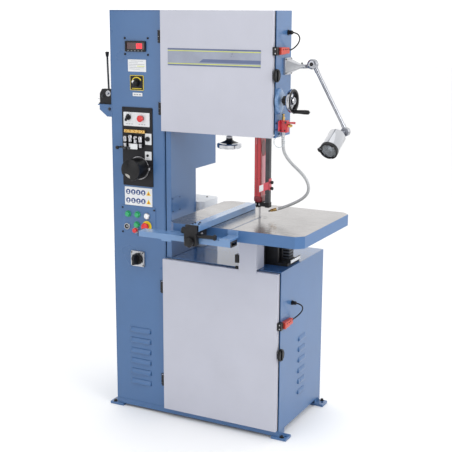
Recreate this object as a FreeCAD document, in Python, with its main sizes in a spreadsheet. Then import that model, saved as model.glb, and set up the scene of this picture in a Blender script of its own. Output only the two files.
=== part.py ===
"""Vertical metal-cutting band saw, built as an assembly of separate sub-parts.

Every sub-part is modelled from the machine's own corner datum: X from the column's left face,
Y from the column's front face (away from the operator) and Z up from the floor, in millimetres.
The Placement of each finished sub-part carries it to the part's origin, the centre of the four
floor anchor holes at floor level.
"""
import FreeCAD, Part
import math
import os
import re
import Sketcher

V = FreeCAD.Vector
doc = FreeCAD.newDocument("band_saw")

# ---------------------------------------------------------------- driving dimensions
DIMENSIONS = {
    # welded frame
    "overall_h": 1920, "base_w": 881, "base_d": 493, "base_top": 792, "base_lift": 35,
    "sheet": 4, "column_w": 320, "column_d": 233, "neck_d": 434, "neck_bottom": 1180,
    "partition_x": 284, "slit_w": 6, "head_right": 841, "head_d": 155, "head_bottom": 1385,
    "cover_t": 2.5, "gap": 0.5,
    "foot_len": 75, "foot_wid": 60, "foot_t": 12, "foot_out": 38, "leg_w": 62,
    "anchor_r": 7, "anchor_in": 15,
    # doors
    "door_left": 283, "door_t": 21.5, "door_skin": 2, "lower_door_bottom": 42,
    "hinge_x": 274, "hinge_y": -11, "knuckle_r": 7, "hinge_pin_r": 3, "hinge_h": 56,
    "door_inset": 8, "door_knob_r": 28, "door_knob_t": 12, "latch_len": 24,
    # band wheels and blade
    "blade_x": 735, "blade_y": 75, "blade_w": 20, "blade_t": 0.9, "wheel_r": 221.5,
    "tyre_t": 5, "wheel_w": 30, "tyre_gap": 0.3, "web_t": 18, "hub_r": 42, "hub_w": 46,
    "upper_axle": 1652, "lower_axle": 510, "axle_r": 17.5, "fit_gap": 0.05,
    # upper guide post, guard and handwheel
    "post_x": 778, "post_y": 38, "post_w": 19, "post_deep": 22, "post_bottom": 1090, "post_top": 1620,
    "guard_x": 720, "guard_y": 50, "guard_w": 31, "guard_deep": 50, "guard_bottom": 1086,
    "guard_top": 1440, "guide_tip": 1065, "crank_y": 24, "crank_z": 1545, "pinion_r": 14,
    "crank_x": 910, "crank_r": 52, "rim_r": 7, "grip_len": 68, "grip_r": 9.5,
    # tension handwheel and carriage
    "tension_x": 558, "tension_y": 120, "tension_z": 1308, "tension_r": 56,
    # table, trunnion and lower guides
    "table_x": 419, "table_y": -205, "table_w": 643, "table_d": 567, "table_top": 1012,
    "table_t": 52, "table_corner": 32, "slit_t": 3, "trunnion_r": 118,
    # fence
    "rail_x": 322, "rail_y": -290, "rail_w": 457, "rail_deep": 55, "rail_z": 955, "rail_h": 25,
    "fence_x": 594, "fence_w": 44, "fence_h": 28, "fence_len": 545, "fence_y": -310,
    # lamp
    "lamp_y": 110, "lamp_wall_z": 1686, "shoulder_x": 962, "shoulder_z": 1697,
    "elbow_x": 1119, "elbow_z": 1417, "lamp_tube_r": 8, "lamp_r": 38, "lamp_len": 110,
    # coolant
    "valve_x": 848, "valve_y": 28, "valve_z": 1408, "valve_w": 34, "valve_deep": 28, "valve_h": 52,
    "hose_r": 6.5,
    # controls
    "grind_x": 151, "grind_z": 1203, "button_r": 11.5, "button_travel": 5, "button_t": 12, "cable_r": 3,
}

sheet_object = doc.addObject("Spreadsheet::Sheet", "Dims")
for row, (alias, value) in enumerate(DIMENSIONS.items(), start=1):
    sheet_object.set("A%d" % row, alias)
    sheet_object.set("B%d" % row, str(value))
    sheet_object.setAlias("B%d" % row, alias)
doc.recompute()

AXIS_TURN = {
    "X": FreeCAD.Rotation(V(0, 1, 0), 90),
    "-X": FreeCAD.Rotation(V(0, 1, 0), -90),
    "Y": FreeCAD.Rotation(V(1, 0, 0), -90),
    "-Y": FreeCAD.Rotation(V(1, 0, 0), 90),
    "Z": FreeCAD.Rotation(),
    "-Z": FreeCAD.Rotation(V(1, 0, 0), 180),
}
SUB_PARTS = {}


# ---------------------------------------------------------------- helpers
def expr(text):
    """Turn bare alias names in a sum into references to the sheet."""
    return re.sub(r"[a-z_]+", lambda m: "Dims." + m.group() if m.group() in DIMENSIONS else m.group(),
                  str(text))


def value(text):
    """The number that an expression in alias names stands for."""
    filled = re.sub(r"[a-z_]+", lambda m: "(%r)" % float(sheet_object.get(m.group())), str(text))
    return FreeCAD.Units.Quantity(filled).Value


def bind(obj, **sizes):
    for name, text in sizes.items():
        obj.setExpression(name, expr(text))
    return obj


def place(obj, at, turn=None):
    """Bind an object's place to the sheet, with an optional fixed turn."""
    obj.Placement = FreeCAD.Placement(V(0, 0, 0), turn or FreeCAD.Rotation())
    for letter, text in zip("xyz", at):
        obj.setExpression("Placement.Base." + letter, expr(text))
    return obj


def box(size, at):
    block = doc.addObject("Part::Box", "Box")
    bind(block, Length=size[0], Width=size[1], Height=size[2])
    return place(block, at)


def cylinder(radius, height, at, axis="Z"):
    rod = doc.addObject("Part::Cylinder", "Rod")
    bind(rod, Radius=radius, Height=height)
    turn = axis if isinstance(axis, FreeCAD.Rotation) else AXIS_TURN[axis]
    return place(rod, at, turn)


def cone(radius_one, radius_two, height, at, axis="Z"):
    taper = doc.addObject("Part::Cone", "Taper")
    bind(taper, Radius1=radius_one, Radius2=radius_two, Height=height)
    turn = axis if isinstance(axis, FreeCAD.Rotation) else AXIS_TURN[axis]
    return place(taper, at, turn)


def torus(ring, wire, at, axis="Z"):
    ring_object = doc.addObject("Part::Torus", "Ring")
    bind(ring_object, Radius1=ring, Radius2=wire)
    return place(ring_object, at, AXIS_TURN[axis])


def fuse(*parts):
    union = doc.addObject("Part::MultiFuse", "Union")
    union.Shapes = list(parts)
    return union


def cut(base, *tools):
    difference = doc.addObject("Part::Cut", "Difference")
    difference.Base = base
    difference.Tool = fuse(*tools) if len(tools) > 1 else tools[0]
    return difference


def group(*parts):
    """Separate solids that share one sub-part."""
    compound = doc.addObject("Part::Compound", "Group")
    compound.Links = list(parts)
    return compound


def rounded(base, radius, picks):
    """Fillet the edges that picks(edge) chooses."""
    doc.recompute()
    fillet = doc.addObject("Part::Fillet", "Rounded")
    fillet.Base = base
    fillet.Edges = [(i, radius, radius) for i, e in enumerate(base.Shape.Edges, start=1) if picks(e)]
    return fillet


def vertical(edge):
    ends = [v.Point for v in edge.Vertexes]
    return len(ends) == 2 and ends[0].sub(ends[1]).cross(V(0, 0, 1)).Length < 1e-6


def along_y(edge):
    ends = [v.Point for v in edge.Vertexes]
    return len(ends) == 2 and ends[0].sub(ends[1]).cross(V(0, 1, 0)).Length < 1e-6


def sub_part(label, obj):
    """Name a finished sub-part and bind its place to the centre of the floor anchors."""
    if not hasattr(obj, "Placement") or obj.TypeId in ("Part::Box", "Part::Cylinder", "Part::Feature"):
        obj = group(obj)
    obj.Label = label
    obj.setExpression("Placement.Base.x", expr("-base_w/2"))
    obj.setExpression("Placement.Base.y", expr("-base_d/2"))
    SUB_PARTS[label] = obj
    return obj


def origin_plane(body, role):
    return next(f for f in body.Origin.OriginFeatures if f.Role == role)


def sketch_on(body, role, name):
    sketch = body.newObject("Sketcher::SketchObject", name)
    sketch.AttachmentSupport = [(origin_plane(body, role), "")]
    sketch.MapMode = "FlatFace"
    return sketch


def rectangle(sketch, left, bottom, wide, high):
    """A constrained rectangle whose four dimensions follow the sheet."""
    x0, y0 = value(left), value(bottom)
    x1, y1 = x0 + value(wide), y0 + value(high)
    corners = [V(x0, y0, 0), V(x1, y0, 0), V(x1, y1, 0), V(x0, y1, 0)]
    first = sketch.GeometryCount
    for i in range(4):
        sketch.addGeometry(Part.LineSegment(corners[i], corners[(i + 1) % 4]), False)
    for i in range(4):
        sketch.addConstraint(Sketcher.Constraint("Coincident", first + i, 2, first + (i + 1) % 4, 1))
    sketch.addConstraint(Sketcher.Constraint("Horizontal", first))
    sketch.addConstraint(Sketcher.Constraint("Horizontal", first + 2))
    sketch.addConstraint(Sketcher.Constraint("Vertical", first + 1))
    sketch.addConstraint(Sketcher.Constraint("Vertical", first + 3))
    for kind, item, text in (("DistanceX", None, left), ("DistanceY", None, bottom),
                             ("DistanceX", first, wide), ("DistanceY", first + 1, high)):
        number = value(text)
        if item is None:
            index = sketch.addConstraint(Sketcher.Constraint(kind, -1, 1, first, 1, number))
        else:
            index = sketch.addConstraint(Sketcher.Constraint(kind, item, 1, item, 2, number))
        sketch.setExpression("Constraints[%d]" % index, expr(text))


def circle(sketch, across, up, radius):
    """A constrained circle whose centre and radius follow the sheet."""
    index = sketch.addGeometry(Part.Circle(V(value(across), value(up), 0), V(0, 0, 1), value(radius)), False)
    for constraint, text in ((Sketcher.Constraint("Radius", index, value(radius)), radius),
                             (Sketcher.Constraint("DistanceX", -1, 1, index, 3, value(across)), across),
                             (Sketcher.Constraint("DistanceY", -1, 1, index, 3, value(up)), up)):
        number = sketch.addConstraint(constraint)
        sketch.setExpression("Constraints[%d]" % number, expr(text))


def extrude(body, kind, sketch, length, reverse=False, name="Step"):
    feature = body.newObject("PartDesign::" + kind, name)
    feature.Profile = sketch
    feature.setExpression("Length", expr(length))
    feature.Reversed = reverse
    return feature


def revolved(name, rectangles, at, axis, bores=()):
    """A turned piece: rectangles (inner radius, start, thickness, length) spun about one axis."""
    body = doc.addObject("PartDesign::Body", name)
    for number, (inner, start, thick, length) in enumerate(rectangles):
        sketch = sketch_on(body, "XZ_Plane", "Profile%d" % number)
        rectangle(sketch, inner, start, thick, length)
        turned = body.newObject("PartDesign::Revolution", "Turned%d" % number)
        turned.Profile = sketch
        turned.ReferenceAxis = (sketch, ["V_Axis"])
        turned.Angle = 360
        doc.recompute()
    for number, (radius, depth) in enumerate(bores):
        sketch = sketch_on(body, "XY_Plane", "Bore%d" % number)
        circle(sketch, 0, 0, radius)
        bore = extrude(body, "Pocket", sketch, depth, name="BoreCut%d" % number)
        bore.Midplane = True
    return place(body, at, AXIS_TURN[axis])


def wrapped(body):
    """A body kept in its own frame, linked into a compound that a sub-part can place."""
    return group(body)


def between(start, end):
    """The turn that carries +Z onto the line from start to end."""
    return FreeCAD.Rotation(V(0, 0, 1), V(*end).sub(V(*start)))


# ---------------------------------------------------------------- frame and cabinets
def louvres(count, first_z, pitch, at_x, at_y, length):
    """Slots of a louvred side wall, one under the other."""
    return [box(("20", length, "3"), (at_x, at_y, "%s - %d*%s" % (first_z, i, pitch))) for i in range(count)]


def base_cabinet():
    """Welded base: open-fronted box with a kick strip along the front, standing on the feet."""
    shell = box(("base_w", "base_d", "base_top - base_lift"), (0, 0, "base_lift"))
    right_room = box(("base_w - partition_x - 2*sheet", "base_d - sheet + 1",
                      "base_top - base_lift - 2*sheet"),
                     ("partition_x + sheet", -1, "base_lift + sheet"))
    left_room = box(("partition_x - sheet", "base_d - sheet + 1", "base_top - base_lift - 2*sheet"),
                    ("sheet", -1, "base_lift + sheet"))
    return_window = box(("50", "70", "190*2"), ("partition_x - 20", "blade_y - 35", "lower_axle - 190"))
    column_well = box(("partition_x - sheet", "column_d - sheet + 1", "20"), ("sheet", -1, "base_top - 10"))
    return_hole = box(("22", "60", "20"), ("partition_x + sheet + 1", "blade_y - 30", "base_top - 10"))
    blade_hole = box(("36", "50", "20"), ("blade_x - 18", "blade_y - 25", "base_top - 10"))
    side_slots = louvres(6, "412", "53", "base_w - 10", "205", "82")
    gear_hole = box(("120", "60", "20"), ("100", "300", "base_top - 10"))
    body = cut(shell, right_room, left_room, return_window, column_well, return_hole, blade_hole, gear_hole,
               *side_slots)
    kick = box(("base_w - 2*leg_w", "sheet", "base_lift - foot_t + 1"), ("leg_w", 0, "foot_t"))
    sub_part("base_cabinet", fuse(body, kick))


def foot_plates():
    """Four feet under the corners: a plate with an anchor hole and a short angle leg on it."""
    plates = []
    for side in (0, 1):
        for end in (0, 1):
            x = "-foot_out" if side == 0 else "base_w + foot_out - foot_len"
            y = "-8" if end == 0 else "base_d + 8 - foot_wid"
            plate = box(("foot_len", "foot_wid", "foot_t"), (x, y, 0))
            hole_x = "-foot_out + anchor_in" if side == 0 else "base_w + foot_out - anchor_in"
            hole_y = "foot_wid/2 - 8" if end == 0 else "base_d + 8 - foot_wid/2"
            hole = cylinder("anchor_r", "foot_t + 2", (hole_x, hole_y, -1))
            corner = box(("leg_w", "leg_w", "base_lift - foot_t - gap + 1"),
                         ("0" if side == 0 else "base_w - leg_w", "0" if end == 0 else "base_d - leg_w",
                          "foot_t - 1"))
            hollow = box(("leg_w", "leg_w", "base_lift"),
                         ("sheet" if side == 0 else "base_w - leg_w - sheet",
                          "sheet" if end == 0 else "base_d - leg_w - sheet", "foot_t - 2"))
            plates.append(cut(fuse(plate, cut(corner, hollow)), hole))
    sub_part("foot_plates", group(*plates))


def column_frame():
    """Welded column: electrics bay on the left, blade return channel on the right, deep neck above."""
    mid = box(("column_w", "column_d", "overall_h - base_top - gap"), (0, 0, "base_top + gap"))
    neck = box(("column_w", "neck_d - column_d + 1", "overall_h - neck_bottom"),
               (0, "column_d - 1", "neck_bottom"))
    bay = box(("partition_x - sheet", "column_d - sheet + 1", "overall_h - base_top - sheet + 10"),
              ("sheet", -1, "base_top - 10"))
    channel = box(("column_w - partition_x - 2*sheet", "column_d - 2*sheet",
                   "overall_h - base_top - sheet + 10"),
                  ("partition_x + sheet", "sheet", "base_top - 10"))
    neck_room = box(("column_w - 2*sheet", "neck_d - column_d - sheet + 1",
                     "overall_h - neck_bottom - 2*sheet"),
                    ("sheet", "column_d - 1", "neck_bottom + sheet"))
    slit = box(("slit_w", "20", "head_bottom - base_top + 2"), ("partition_x + sheet", -5, "base_top - 1"))
    wheel_window = box(("60", "head_d - 2*sheet", "overall_h - head_bottom - 2*sheet"),
                       ("partition_x + sheet", -1, "head_bottom + sheet"))
    neck_window = box(("220", "30", "600"), ("30", "column_d - 15", "neck_bottom + 70"))
    sub_part("column_frame", cut(fuse(mid, neck), bay, channel, neck_room, neck_window, slit, wheel_window))


def column_front_cover():
    """Full-height front panel of the electrics bay with six louvres near its foot."""
    body = doc.addObject("PartDesign::Body", "CoverBody")
    outline = sketch_on(body, "XZ_Plane", "Outline")
    rectangle(outline, "sheet + gap", "base_lift + sheet + gap",
              "partition_x - sheet - 2*gap", "overall_h - base_lift - 2*sheet - 2*gap")
    extrude(body, "Pad", outline, "cover_t", reverse=True, name="Panel")
    doc.recompute()
    slots = sketch_on(body, "XZ_Plane", "Slots")
    rectangle(slots, "84", "397", "116", "3")
    pocket = extrude(body, "Pocket", slots, "40", name="Louvre")
    pocket.Midplane = True
    pattern = body.newObject("PartDesign::LinearPattern", "Louvres")
    pattern.Originals = [pocket]
    pattern.Direction = (origin_axis(body, "Z_Axis"), [""])
    pattern.Reversed = True
    pattern.Length = 5 * 53
    pattern.Occurrences = 6
    body.Tip = pattern
    sub_part("column_front_cover", wrapped(body))


def origin_axis(body, role):
    return next(f for f in body.Origin.OriginFeatures if f.Role == role)


def carriage_rails():
    """Two upright rails on the head's back wall, between which the upper wheel's carriage slides."""
    start_y = "blade_y + hub_w/2 + 5"
    return [box(("25", "head_d - sheet + 1 - (%s)" % start_y, "240"), (x, start_y, "upper_axle - 120"))
            for x in ("blade_x - wheel_r - 76", "blade_x - wheel_r + 101")]


def upper_housing():
    """Head: open-fronted box round the upper wheel, open to the column on its left."""
    shell = box(("head_right - column_w - gap", "head_d", "overall_h - head_bottom"),
                ("column_w + gap", 0, "head_bottom"))
    room = box(("head_right - column_w - sheet + 1", "head_d - sheet + 1",
                "overall_h - head_bottom - 2*sheet"),
               ("column_w - 1", -1, "head_bottom + sheet"))
    guard_slot = box(("post_x + post_w - guard_x + 28", "92", "20"),
                     ("guard_x - 8", "post_y - 26", "head_bottom - 10"))
    tension_hole = cylinder("8", "20", ("tension_x", "tension_y", "head_bottom - 10"))
    shaft_hole = cylinder("16.5", "20", ("head_right - 10", "crank_y", "crank_z"), "X")
    body = cut(shell, room, guard_slot, tension_hole, shaft_hole)
    sub_part("upper_housing", fuse(body, *carriage_rails()))


def rear_cover():
    """Pressed cover over the drive's control gear, on the base behind the column."""
    outer = box(("304", "170", "223.5"), ("48", "column_d + 12", "base_top + gap"))
    soft = rounded(outer, 28, lambda e: vertical(e))
    inner = rounded(box(("296", "162", "221"), ("52", "column_d + 16", "base_top - 1")), 24,
                    lambda e: vertical(e))
    sub_part("rear_cover", cut(soft, inner))


def door_hinges():
    """Fixed leaves and lower knuckles of the four door hinges, each with its pin."""
    pieces = []
    for bottom in HINGE_BOTTOMS:
        leaf = box(("24", "3", "hinge_h"), ("hinge_x - 16", "-3 - gap", bottom))
        web = box(("7", "8", "hinge_h/2 - gap"), ("hinge_x", "-8 - gap", bottom))
        knuckle = cylinder("knuckle_r", "hinge_h/2 - gap", ("hinge_x", "hinge_y", bottom))
        pin = cylinder("hinge_pin_r", "hinge_h - 2", ("hinge_x", "hinge_y", "%s + 1" % bottom))
        pieces.append(fuse(leaf, web, knuckle, pin))
    sub_part("door_hinges", group(*pieces))


HINGE_BOTTOMS = ("1777", "1456", "618", "154")


def door(label, right, bottom, top, hinge_bottoms, knob_z, switch_z):
    """Folded steel door with its moving hinge knuckles and the interlock key on its free edge."""
    body = doc.addObject("PartDesign::Body", label + "_pan")
    face = sketch_on(body, "XZ_Plane", "Face")
    rectangle(face, "door_left", bottom, "%s - door_left" % right, "%s - %s" % (top, bottom))
    extrude(body, "Pad", face, "door_t", name="Pan")
    doc.recompute()
    inside = sketch_on(body, "XZ_Plane", "Inside")
    rectangle(inside, "door_left + door_skin", "%s + door_skin" % bottom,
              "%s - door_left - 2*door_skin" % right, "%s - %s - 2*door_skin" % (top, bottom))
    extrude(body, "Pocket", inside, "door_t - door_skin", reverse=True, name="Hollow")
    place(body, (0, "-gap", 0))
    latch_bore = cylinder("6.05", "10", ("%s - 6" % right, "hinge_y", knob_z), "X")
    pan = cut(wrapped(body), latch_bore)
    pieces = [pan]
    for low in hinge_bottoms:
        knuckle = cylinder("knuckle_r", "hinge_h/2 - gap",
                           ("hinge_x", "hinge_y", "%s + hinge_h/2 + gap" % low))
        strap = box(("12", "6", "hinge_h/2 - gap"), ("hinge_x", "hinge_y - 3", "%s + hinge_h/2 + gap" % low))
        bore = cylinder("hinge_pin_r + fit_gap", "hinge_h", ("hinge_x", "hinge_y", low))
        pieces.append(cut(fuse(knuckle, strap), bore))
    key = box(("13 + door_inset", "door_t", "34"), (right, "-door_t - gap", "%s - 17" % switch_z))
    tongue = box(("4", "22", "14"), ("%s + 6 + door_inset" % right, "-gap - 1", "%s - 7" % switch_z))
    sub_part(label, fuse(*pieces, fuse(key, tongue)))


def door_knob(label, right, z):
    """Quarter-turn knob through the door's free edge, with the latch cam inside."""
    head = cylinder("door_knob_r", "door_knob_t", ("%s + 2 + door_inset" % right, "hinge_y", z), "X")
    wing = box(("5", "10", "2*door_knob_r - 6"),
               ("%s + 1 + door_inset + door_knob_t" % right, "hinge_y - 5", "%s - door_knob_r + 3" % z))
    stem = cylinder("6", "12 + door_inset", ("%s - 9" % right, "hinge_y", z), "X")
    cam = box(("4", "latch_len + 5", "14"), ("%s - 9" % right, "hinge_y - 5", "%s - 7" % z))
    sub_part(label, fuse(head, wing, stem, cam))


# ---------------------------------------------------------------- band wheels, blade and drive
def band_wheel(label, axle_z):
    """Plain-web alloy band wheel with its rubber tyre, turning about a Y axle in the blade plane."""
    tyre_out = "wheel_r - tyre_gap"
    rim = ("wheel_r - tyre_gap - tyre_t - 14", "-wheel_w/2", "14", "wheel_w")
    web = ("hub_r - 1", "-web_t/2", "wheel_r - tyre_t - 12 - hub_r", "web_t")
    hub = ("axle_r + fit_gap", "-hub_w/2", "hub_r - axle_r - fit_gap", "hub_w")
    wheel = revolved(label + "_iron", [hub, web, rim], ("blade_x - wheel_r", "blade_y", axle_z), "Y")
    tyre = revolved(label + "_tyre", [("%s - tyre_t" % tyre_out, "-wheel_w/2", "tyre_t", "wheel_w")],
                    ("blade_x - wheel_r", "blade_y", axle_z), "Y")
    sub_part(label, group(wheel, tyre))


def saw_blade():
    """Endless toothed band round both wheels."""
    def loop(grow, wide, name):
        radius = "wheel_r + %s" % grow
        start = "blade_y - blade_w/2 - %s" % wide
        depth = "blade_w + 2*%s" % wide
        ends = [cylinder(radius, depth, ("blade_x - wheel_r", start, z), "Y") for z in ("upper_axle",
                "lower_axle")]
        middle = box(("2*(%s)" % radius, depth, "upper_axle - lower_axle"),
                     ("blade_x - wheel_r - (%s)" % radius, start, "lower_axle"))
        return fuse(middle, *ends)
    sub_part("saw_blade", cut(loop("blade_t", "0", "outer"), loop("0", "1", "inner")))


def wheel_carriage():
    """Upper axle on its slide block, with the nut for the tension screw."""
    axle = cylinder("axle_r", "head_d - 10 - (blade_y - hub_w/2 - 6)",
                    ("blade_x - wheel_r", "blade_y - hub_w/2 - 6", "upper_axle"), "Y")
    collar = cylinder("axle_r + 9", "5", ("blade_x - wheel_r", "blade_y - hub_w/2 - 8", "upper_axle"), "Y")
    plate = box(("150", "22", "150"), ("blade_x - wheel_r - 50", "blade_y + hub_w/2 + 5", "upper_axle - 75"))
    nut_bore = cylinder("6.1", "220", ("tension_x", "tension_y", "upper_axle - 120"))
    nut = box(("26", "18", "40"), ("tension_x - 13", "tension_y - 9", "upper_axle - 115"))
    sub_part("wheel_carriage", cut(fuse(axle, collar, plate, nut), nut_bore))


def tension_handwheel():
    """Small dished handwheel on the tension screw, under the head."""
    rim = torus("tension_r - 8", "8", ("tension_x", "tension_y", "tension_z + 8"))
    disc = cylinder("tension_r - 8", "5", ("tension_x", "tension_y", "tension_z + 8"))
    hub = cylinder("13", "42", ("tension_x", "tension_y", "tension_z + 8"))
    screw = cylinder("6", "upper_axle - 60 - tension_z", ("tension_x", "tension_y", "tension_z + 10"))
    sub_part("tension_handwheel", fuse(rim, disc, hub, screw))


def drive():
    """Geared motor behind the lower wheel: bearing flange, gearbox and motor on one mounting."""
    centre_x = "blade_x - wheel_r"
    spindle = cylinder("axle_r", "hub_w + 16", (centre_x, "blade_y - hub_w/2 - 6", "lower_axle"), "Y")
    collar = cylinder("axle_r + 9", "5", (centre_x, "blade_y - hub_w/2 - 8", "lower_axle"), "Y")
    flange = cylinder("70", "18", (centre_x, "blade_y + hub_w/2 + 6", "lower_axle"), "Y")
    casing = rounded(box(("190", "120", "190"),
                         ("blade_x - wheel_r - 95", "blade_y + hub_w/2 + 24", "lower_axle - 95")),
                     14, along_y)
    stand_h = "lower_axle - 94 - base_lift - sheet - gap"
    stand = box(("260", "120", stand_h),
                ("blade_x - wheel_r - 130", "blade_y + hub_w/2 + 24", "base_lift + sheet + gap"))
    under = box(("236", "122", "%s - 12" % stand_h),
                ("blade_x - wheel_r - 118", "blade_y + hub_w/2 + 23", "base_lift + sheet"))
    gearbox = fuse(spindle, collar, flange, casing, cut(stand, under))
    motor_start = "blade_y + hub_w/2 + 24 + 120 + gap"
    motor = cylinder("78", "210", (centre_x, motor_start, "lower_axle"), "Y")
    fins = [box(("4", "150", "168"),
                ("blade_x - wheel_r - 2 + %d" % dx, "%s + 20" % motor_start, "lower_axle - 84"))
            for dx in (-30, -15, 0, 15, 30)]
    terminal_box = box(("80", "90", "40"),
                       ("blade_x - wheel_r - 40", "%s + 60" % motor_start, "lower_axle + 65"))
    sub_part("geared_motor", group(gearbox, fuse(motor, terminal_box, *fins)))


# ---------------------------------------------------------------- upper guide, guard and their drive
def guide_post():
    """Rack bar that carries the guard and the upper blade guide."""
    bar = box(("post_w", "post_deep", "post_top - post_bottom"), ("post_x", "post_y", "post_bottom"))
    sub_part("guide_post", bar)


def upper_blade_guard():
    """Folded red guard, open towards the band wheel, on a bracket that reaches the post."""
    front = box(("guard_w", "2", "guard_top - guard_bottom"), ("guard_x", "guard_y", "guard_bottom"))
    side = box(("2", "guard_deep", "guard_top - guard_bottom"),
               ("guard_x + guard_w - 2", "guard_y", "guard_bottom"))
    strap = box(("54", "4", "34"), ("0", "0", "0"))
    place(strap, ("guard_x + guard_w - 2", "post_y - 4 - gap", "post_bottom + 41"),
          FreeCAD.Rotation(V(0, 1, 0), -24))
    gusset = box(("4", "guard_y - post_y + 8", "30"),
                 ("guard_x + guard_w - 1", "post_y - 4 - gap", "post_bottom + 43"))
    cheek = box(("4", "24", "54"), ("post_x + post_w + gap", "post_y - 4 - gap", "post_bottom + 56"))
    knobs = [cylinder("6.5", "13", ("post_x + post_w + gap + 3", "post_y + 8", "post_bottom + %d" % up), "X")
             for up in (65, 92)]
    sub_part("upper_blade_guard", fuse(front, side, strap, gusset, cheek, *knobs))


def upper_guide_block():
    """Black guide block at the guard's foot, with side jaws and the thrust roller."""
    block = box(("26", "54", "34"), ("blade_x - 13", "blade_y - 22", "guide_tip"))
    way = box(("5", "blade_w + 4", "50"), ("blade_x - 2", "blade_y - blade_w/2 - 2", "guide_tip - 5"))
    mouth = box(("5", "blade_w + 30", "50"), ("blade_x - 2", "blade_y - 30", "guide_tip - 5"))
    arm = box(("post_x - blade_x - 12", "12", "16"), ("blade_x + 12.5", "blade_y - 21", "guide_tip + 3"))
    foot = box(("post_w", "post_deep + 3", "22"), ("post_x", "post_y", "guide_tip + 3"))
    sub_part("upper_guide_block", fuse(cut(block, way, mouth), arm, foot))


def post_gearbox():
    """Casting inside the head that guides the post, with the boss for the crank shaft outside."""
    housing = box(("head_right - sheet - gap - 766", "64", "110"), ("766", "8", "crank_z - 55"))
    post_way = box(("post_w + 1", "post_deep + 1", "130"), ("post_x - gap", "post_y - gap", "crank_z - 65"))
    pinion_room = cylinder("pinion_r + 3", "45", ("772", "crank_y", "crank_z"), "X")
    boss = rounded(cylinder("42", "14", ("head_right + gap", "crank_y + 6", "crank_z"), "X"), 6,
                   lambda e: e.Length > 200 and e.BoundBox.XMin > 850)
    neck = cylinder("16", "sheet + 4", ("head_right - sheet - 2", "crank_y", "crank_z"), "X")
    shaft_way = cylinder("8 + fit_gap", "60", ("815", "crank_y", "crank_z"), "X")
    sub_part("post_gearbox", cut(fuse(housing, neck, boss), post_way, pinion_room, shaft_way))


def post_handwheel():
    """Crank wheel on the pinion shaft."""
    rim = torus("crank_r - rim_r", "rim_r", ("crank_x", "crank_y", "crank_z"), "X")
    spokes = [box(("8", "14", "2*(crank_r - rim_r)"),
                  ("crank_x - 8", "crank_y - 7", "crank_z - crank_r + rim_r"))]
    spokes.append(box(("8", "2*(crank_r - rim_r)", "14"),
                      ("crank_x - 8", "crank_y - crank_r + rim_r", "crank_z - 7")))
    hub = cylinder("17", "22", ("crank_x - 13", "crank_y", "crank_z"), "X")
    shaft = cylinder("8", "crank_x - post_x", ("post_x", "crank_y", "crank_z"), "X")
    pinion = cylinder("pinion_r - 0.3", "post_w", ("post_x", "crank_y", "crank_z"), "X")
    grip_pin = cylinder("4", "grip_len + 6", ("crank_x", "crank_y", "crank_z - crank_r + rim_r"), "X")
    sub_part("post_handwheel", fuse(rim, hub, shaft, pinion, grip_pin, *spokes))


def handwheel_grip():
    sleeve = cylinder("grip_r", "grip_len", ("crank_x + rim_r + 1", "crank_y", "crank_z - crank_r + rim_r"),
                      "X")
    bore = cylinder("4.05", "grip_len + 2", ("crank_x + rim_r", "crank_y", "crank_z - crank_r + rim_r"), "X")
    sub_part("handwheel_grip", cut(sleeve, bore))


def post_lock_knob():
    """Lobed clamp ring round the crank shaft, between the boss and the wheel."""
    core = cylinder("17", "14", ("870", "crank_y", "crank_z"), "X")
    lobes = []
    for i in range(6):
        turn = math.radians(60 * i)
        lobes.append(cylinder("6.5", "14", ("870", "crank_y + %.3f" % (16 * math.cos(turn)),
                                            "crank_z + %.3f" % (16 * math.sin(turn))), "X"))
    bore = cylinder("8.4", "20", ("867", "crank_y", "crank_z"), "X")
    sub_part("post_lock_knob", cut(fuse(core, *lobes), bore))


# ---------------------------------------------------------------- table, guides below it, fence
def table_top():
    """Ground iron table with cropped corners, a blade slit to the front and a round insert seat."""
    body = doc.addObject("PartDesign::Body", "TableBody")
    outline = sketch_on(body, "XY_Plane", "Outline")
    rectangle(outline, "table_x", "table_y", "table_w", "table_d")
    extrude(body, "Pad", outline, "table_t", name="Slab")
    doc.recompute()
    slab = body.Tip
    edges = ["Edge%d" % i for i, e in enumerate(slab.Shape.Edges, start=1) if vertical(e)]
    corners = body.newObject("PartDesign::Chamfer", "Corners")
    corners.Base = (slab, edges)
    corners.setExpression("Size", expr("table_corner"))
    doc.recompute()
    slit = sketch_on(body, "XY_Plane", "Slit")
    rectangle(slit, "blade_x - slit_t/2", "table_y - 5", "slit_t", "blade_y - table_y + 5")
    cut_slit = extrude(body, "Pocket", slit, "300", name="BladeSlit")
    cut_slit.Midplane = True
    doc.recompute()
    seat = sketch_on(body, "XY_Plane", "Seat")
    circle(seat, "blade_x", "blade_y", "34")
    well = extrude(body, "Pocket", seat, "300", name="InsertSeat")
    well.Midplane = True
    place(body, (0, 0, "table_top - table_t"))
    insert = cylinder("34 - gap", "5", ("blade_x", "blade_y", "table_top - 5"))
    ledge = cylinder("34", "5", ("blade_x", "blade_y", "table_top - 12"))
    ledge_hole = cylinder("28", "8", ("blade_x", "blade_y", "table_top - 13"))
    insert_slot = box(("7", "blade_w + 14", "20"),
                      ("blade_x - 3.5", "blade_y - blade_w/2 - 7", "table_top - 14"))
    insert_slit = box(("slit_t", "60", "20"), ("blade_x - slit_t/2", "blade_y - 60", "table_top - 14"))
    rib_room = box(("table_w - 60", "table_d - 60", "table_t - 22"),
                   ("table_x + 30", "table_y + 30", "table_top - table_t - 1"))
    core = box(("150", "table_d", "table_t"), ("blade_x - 75", "table_y", "table_top - table_t - 1"))
    ledge_ring = cut(ledge, ledge_hole, insert_slit)
    slab_body = fuse(cut(wrapped(body), cut(rib_room, core)), ledge_ring)
    sub_part("table_top", group(slab_body, cut(insert, insert_slot, insert_slit)))


TRUNNION_PLACES = ("blade_y + 36", "blade_y + 82")


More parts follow.
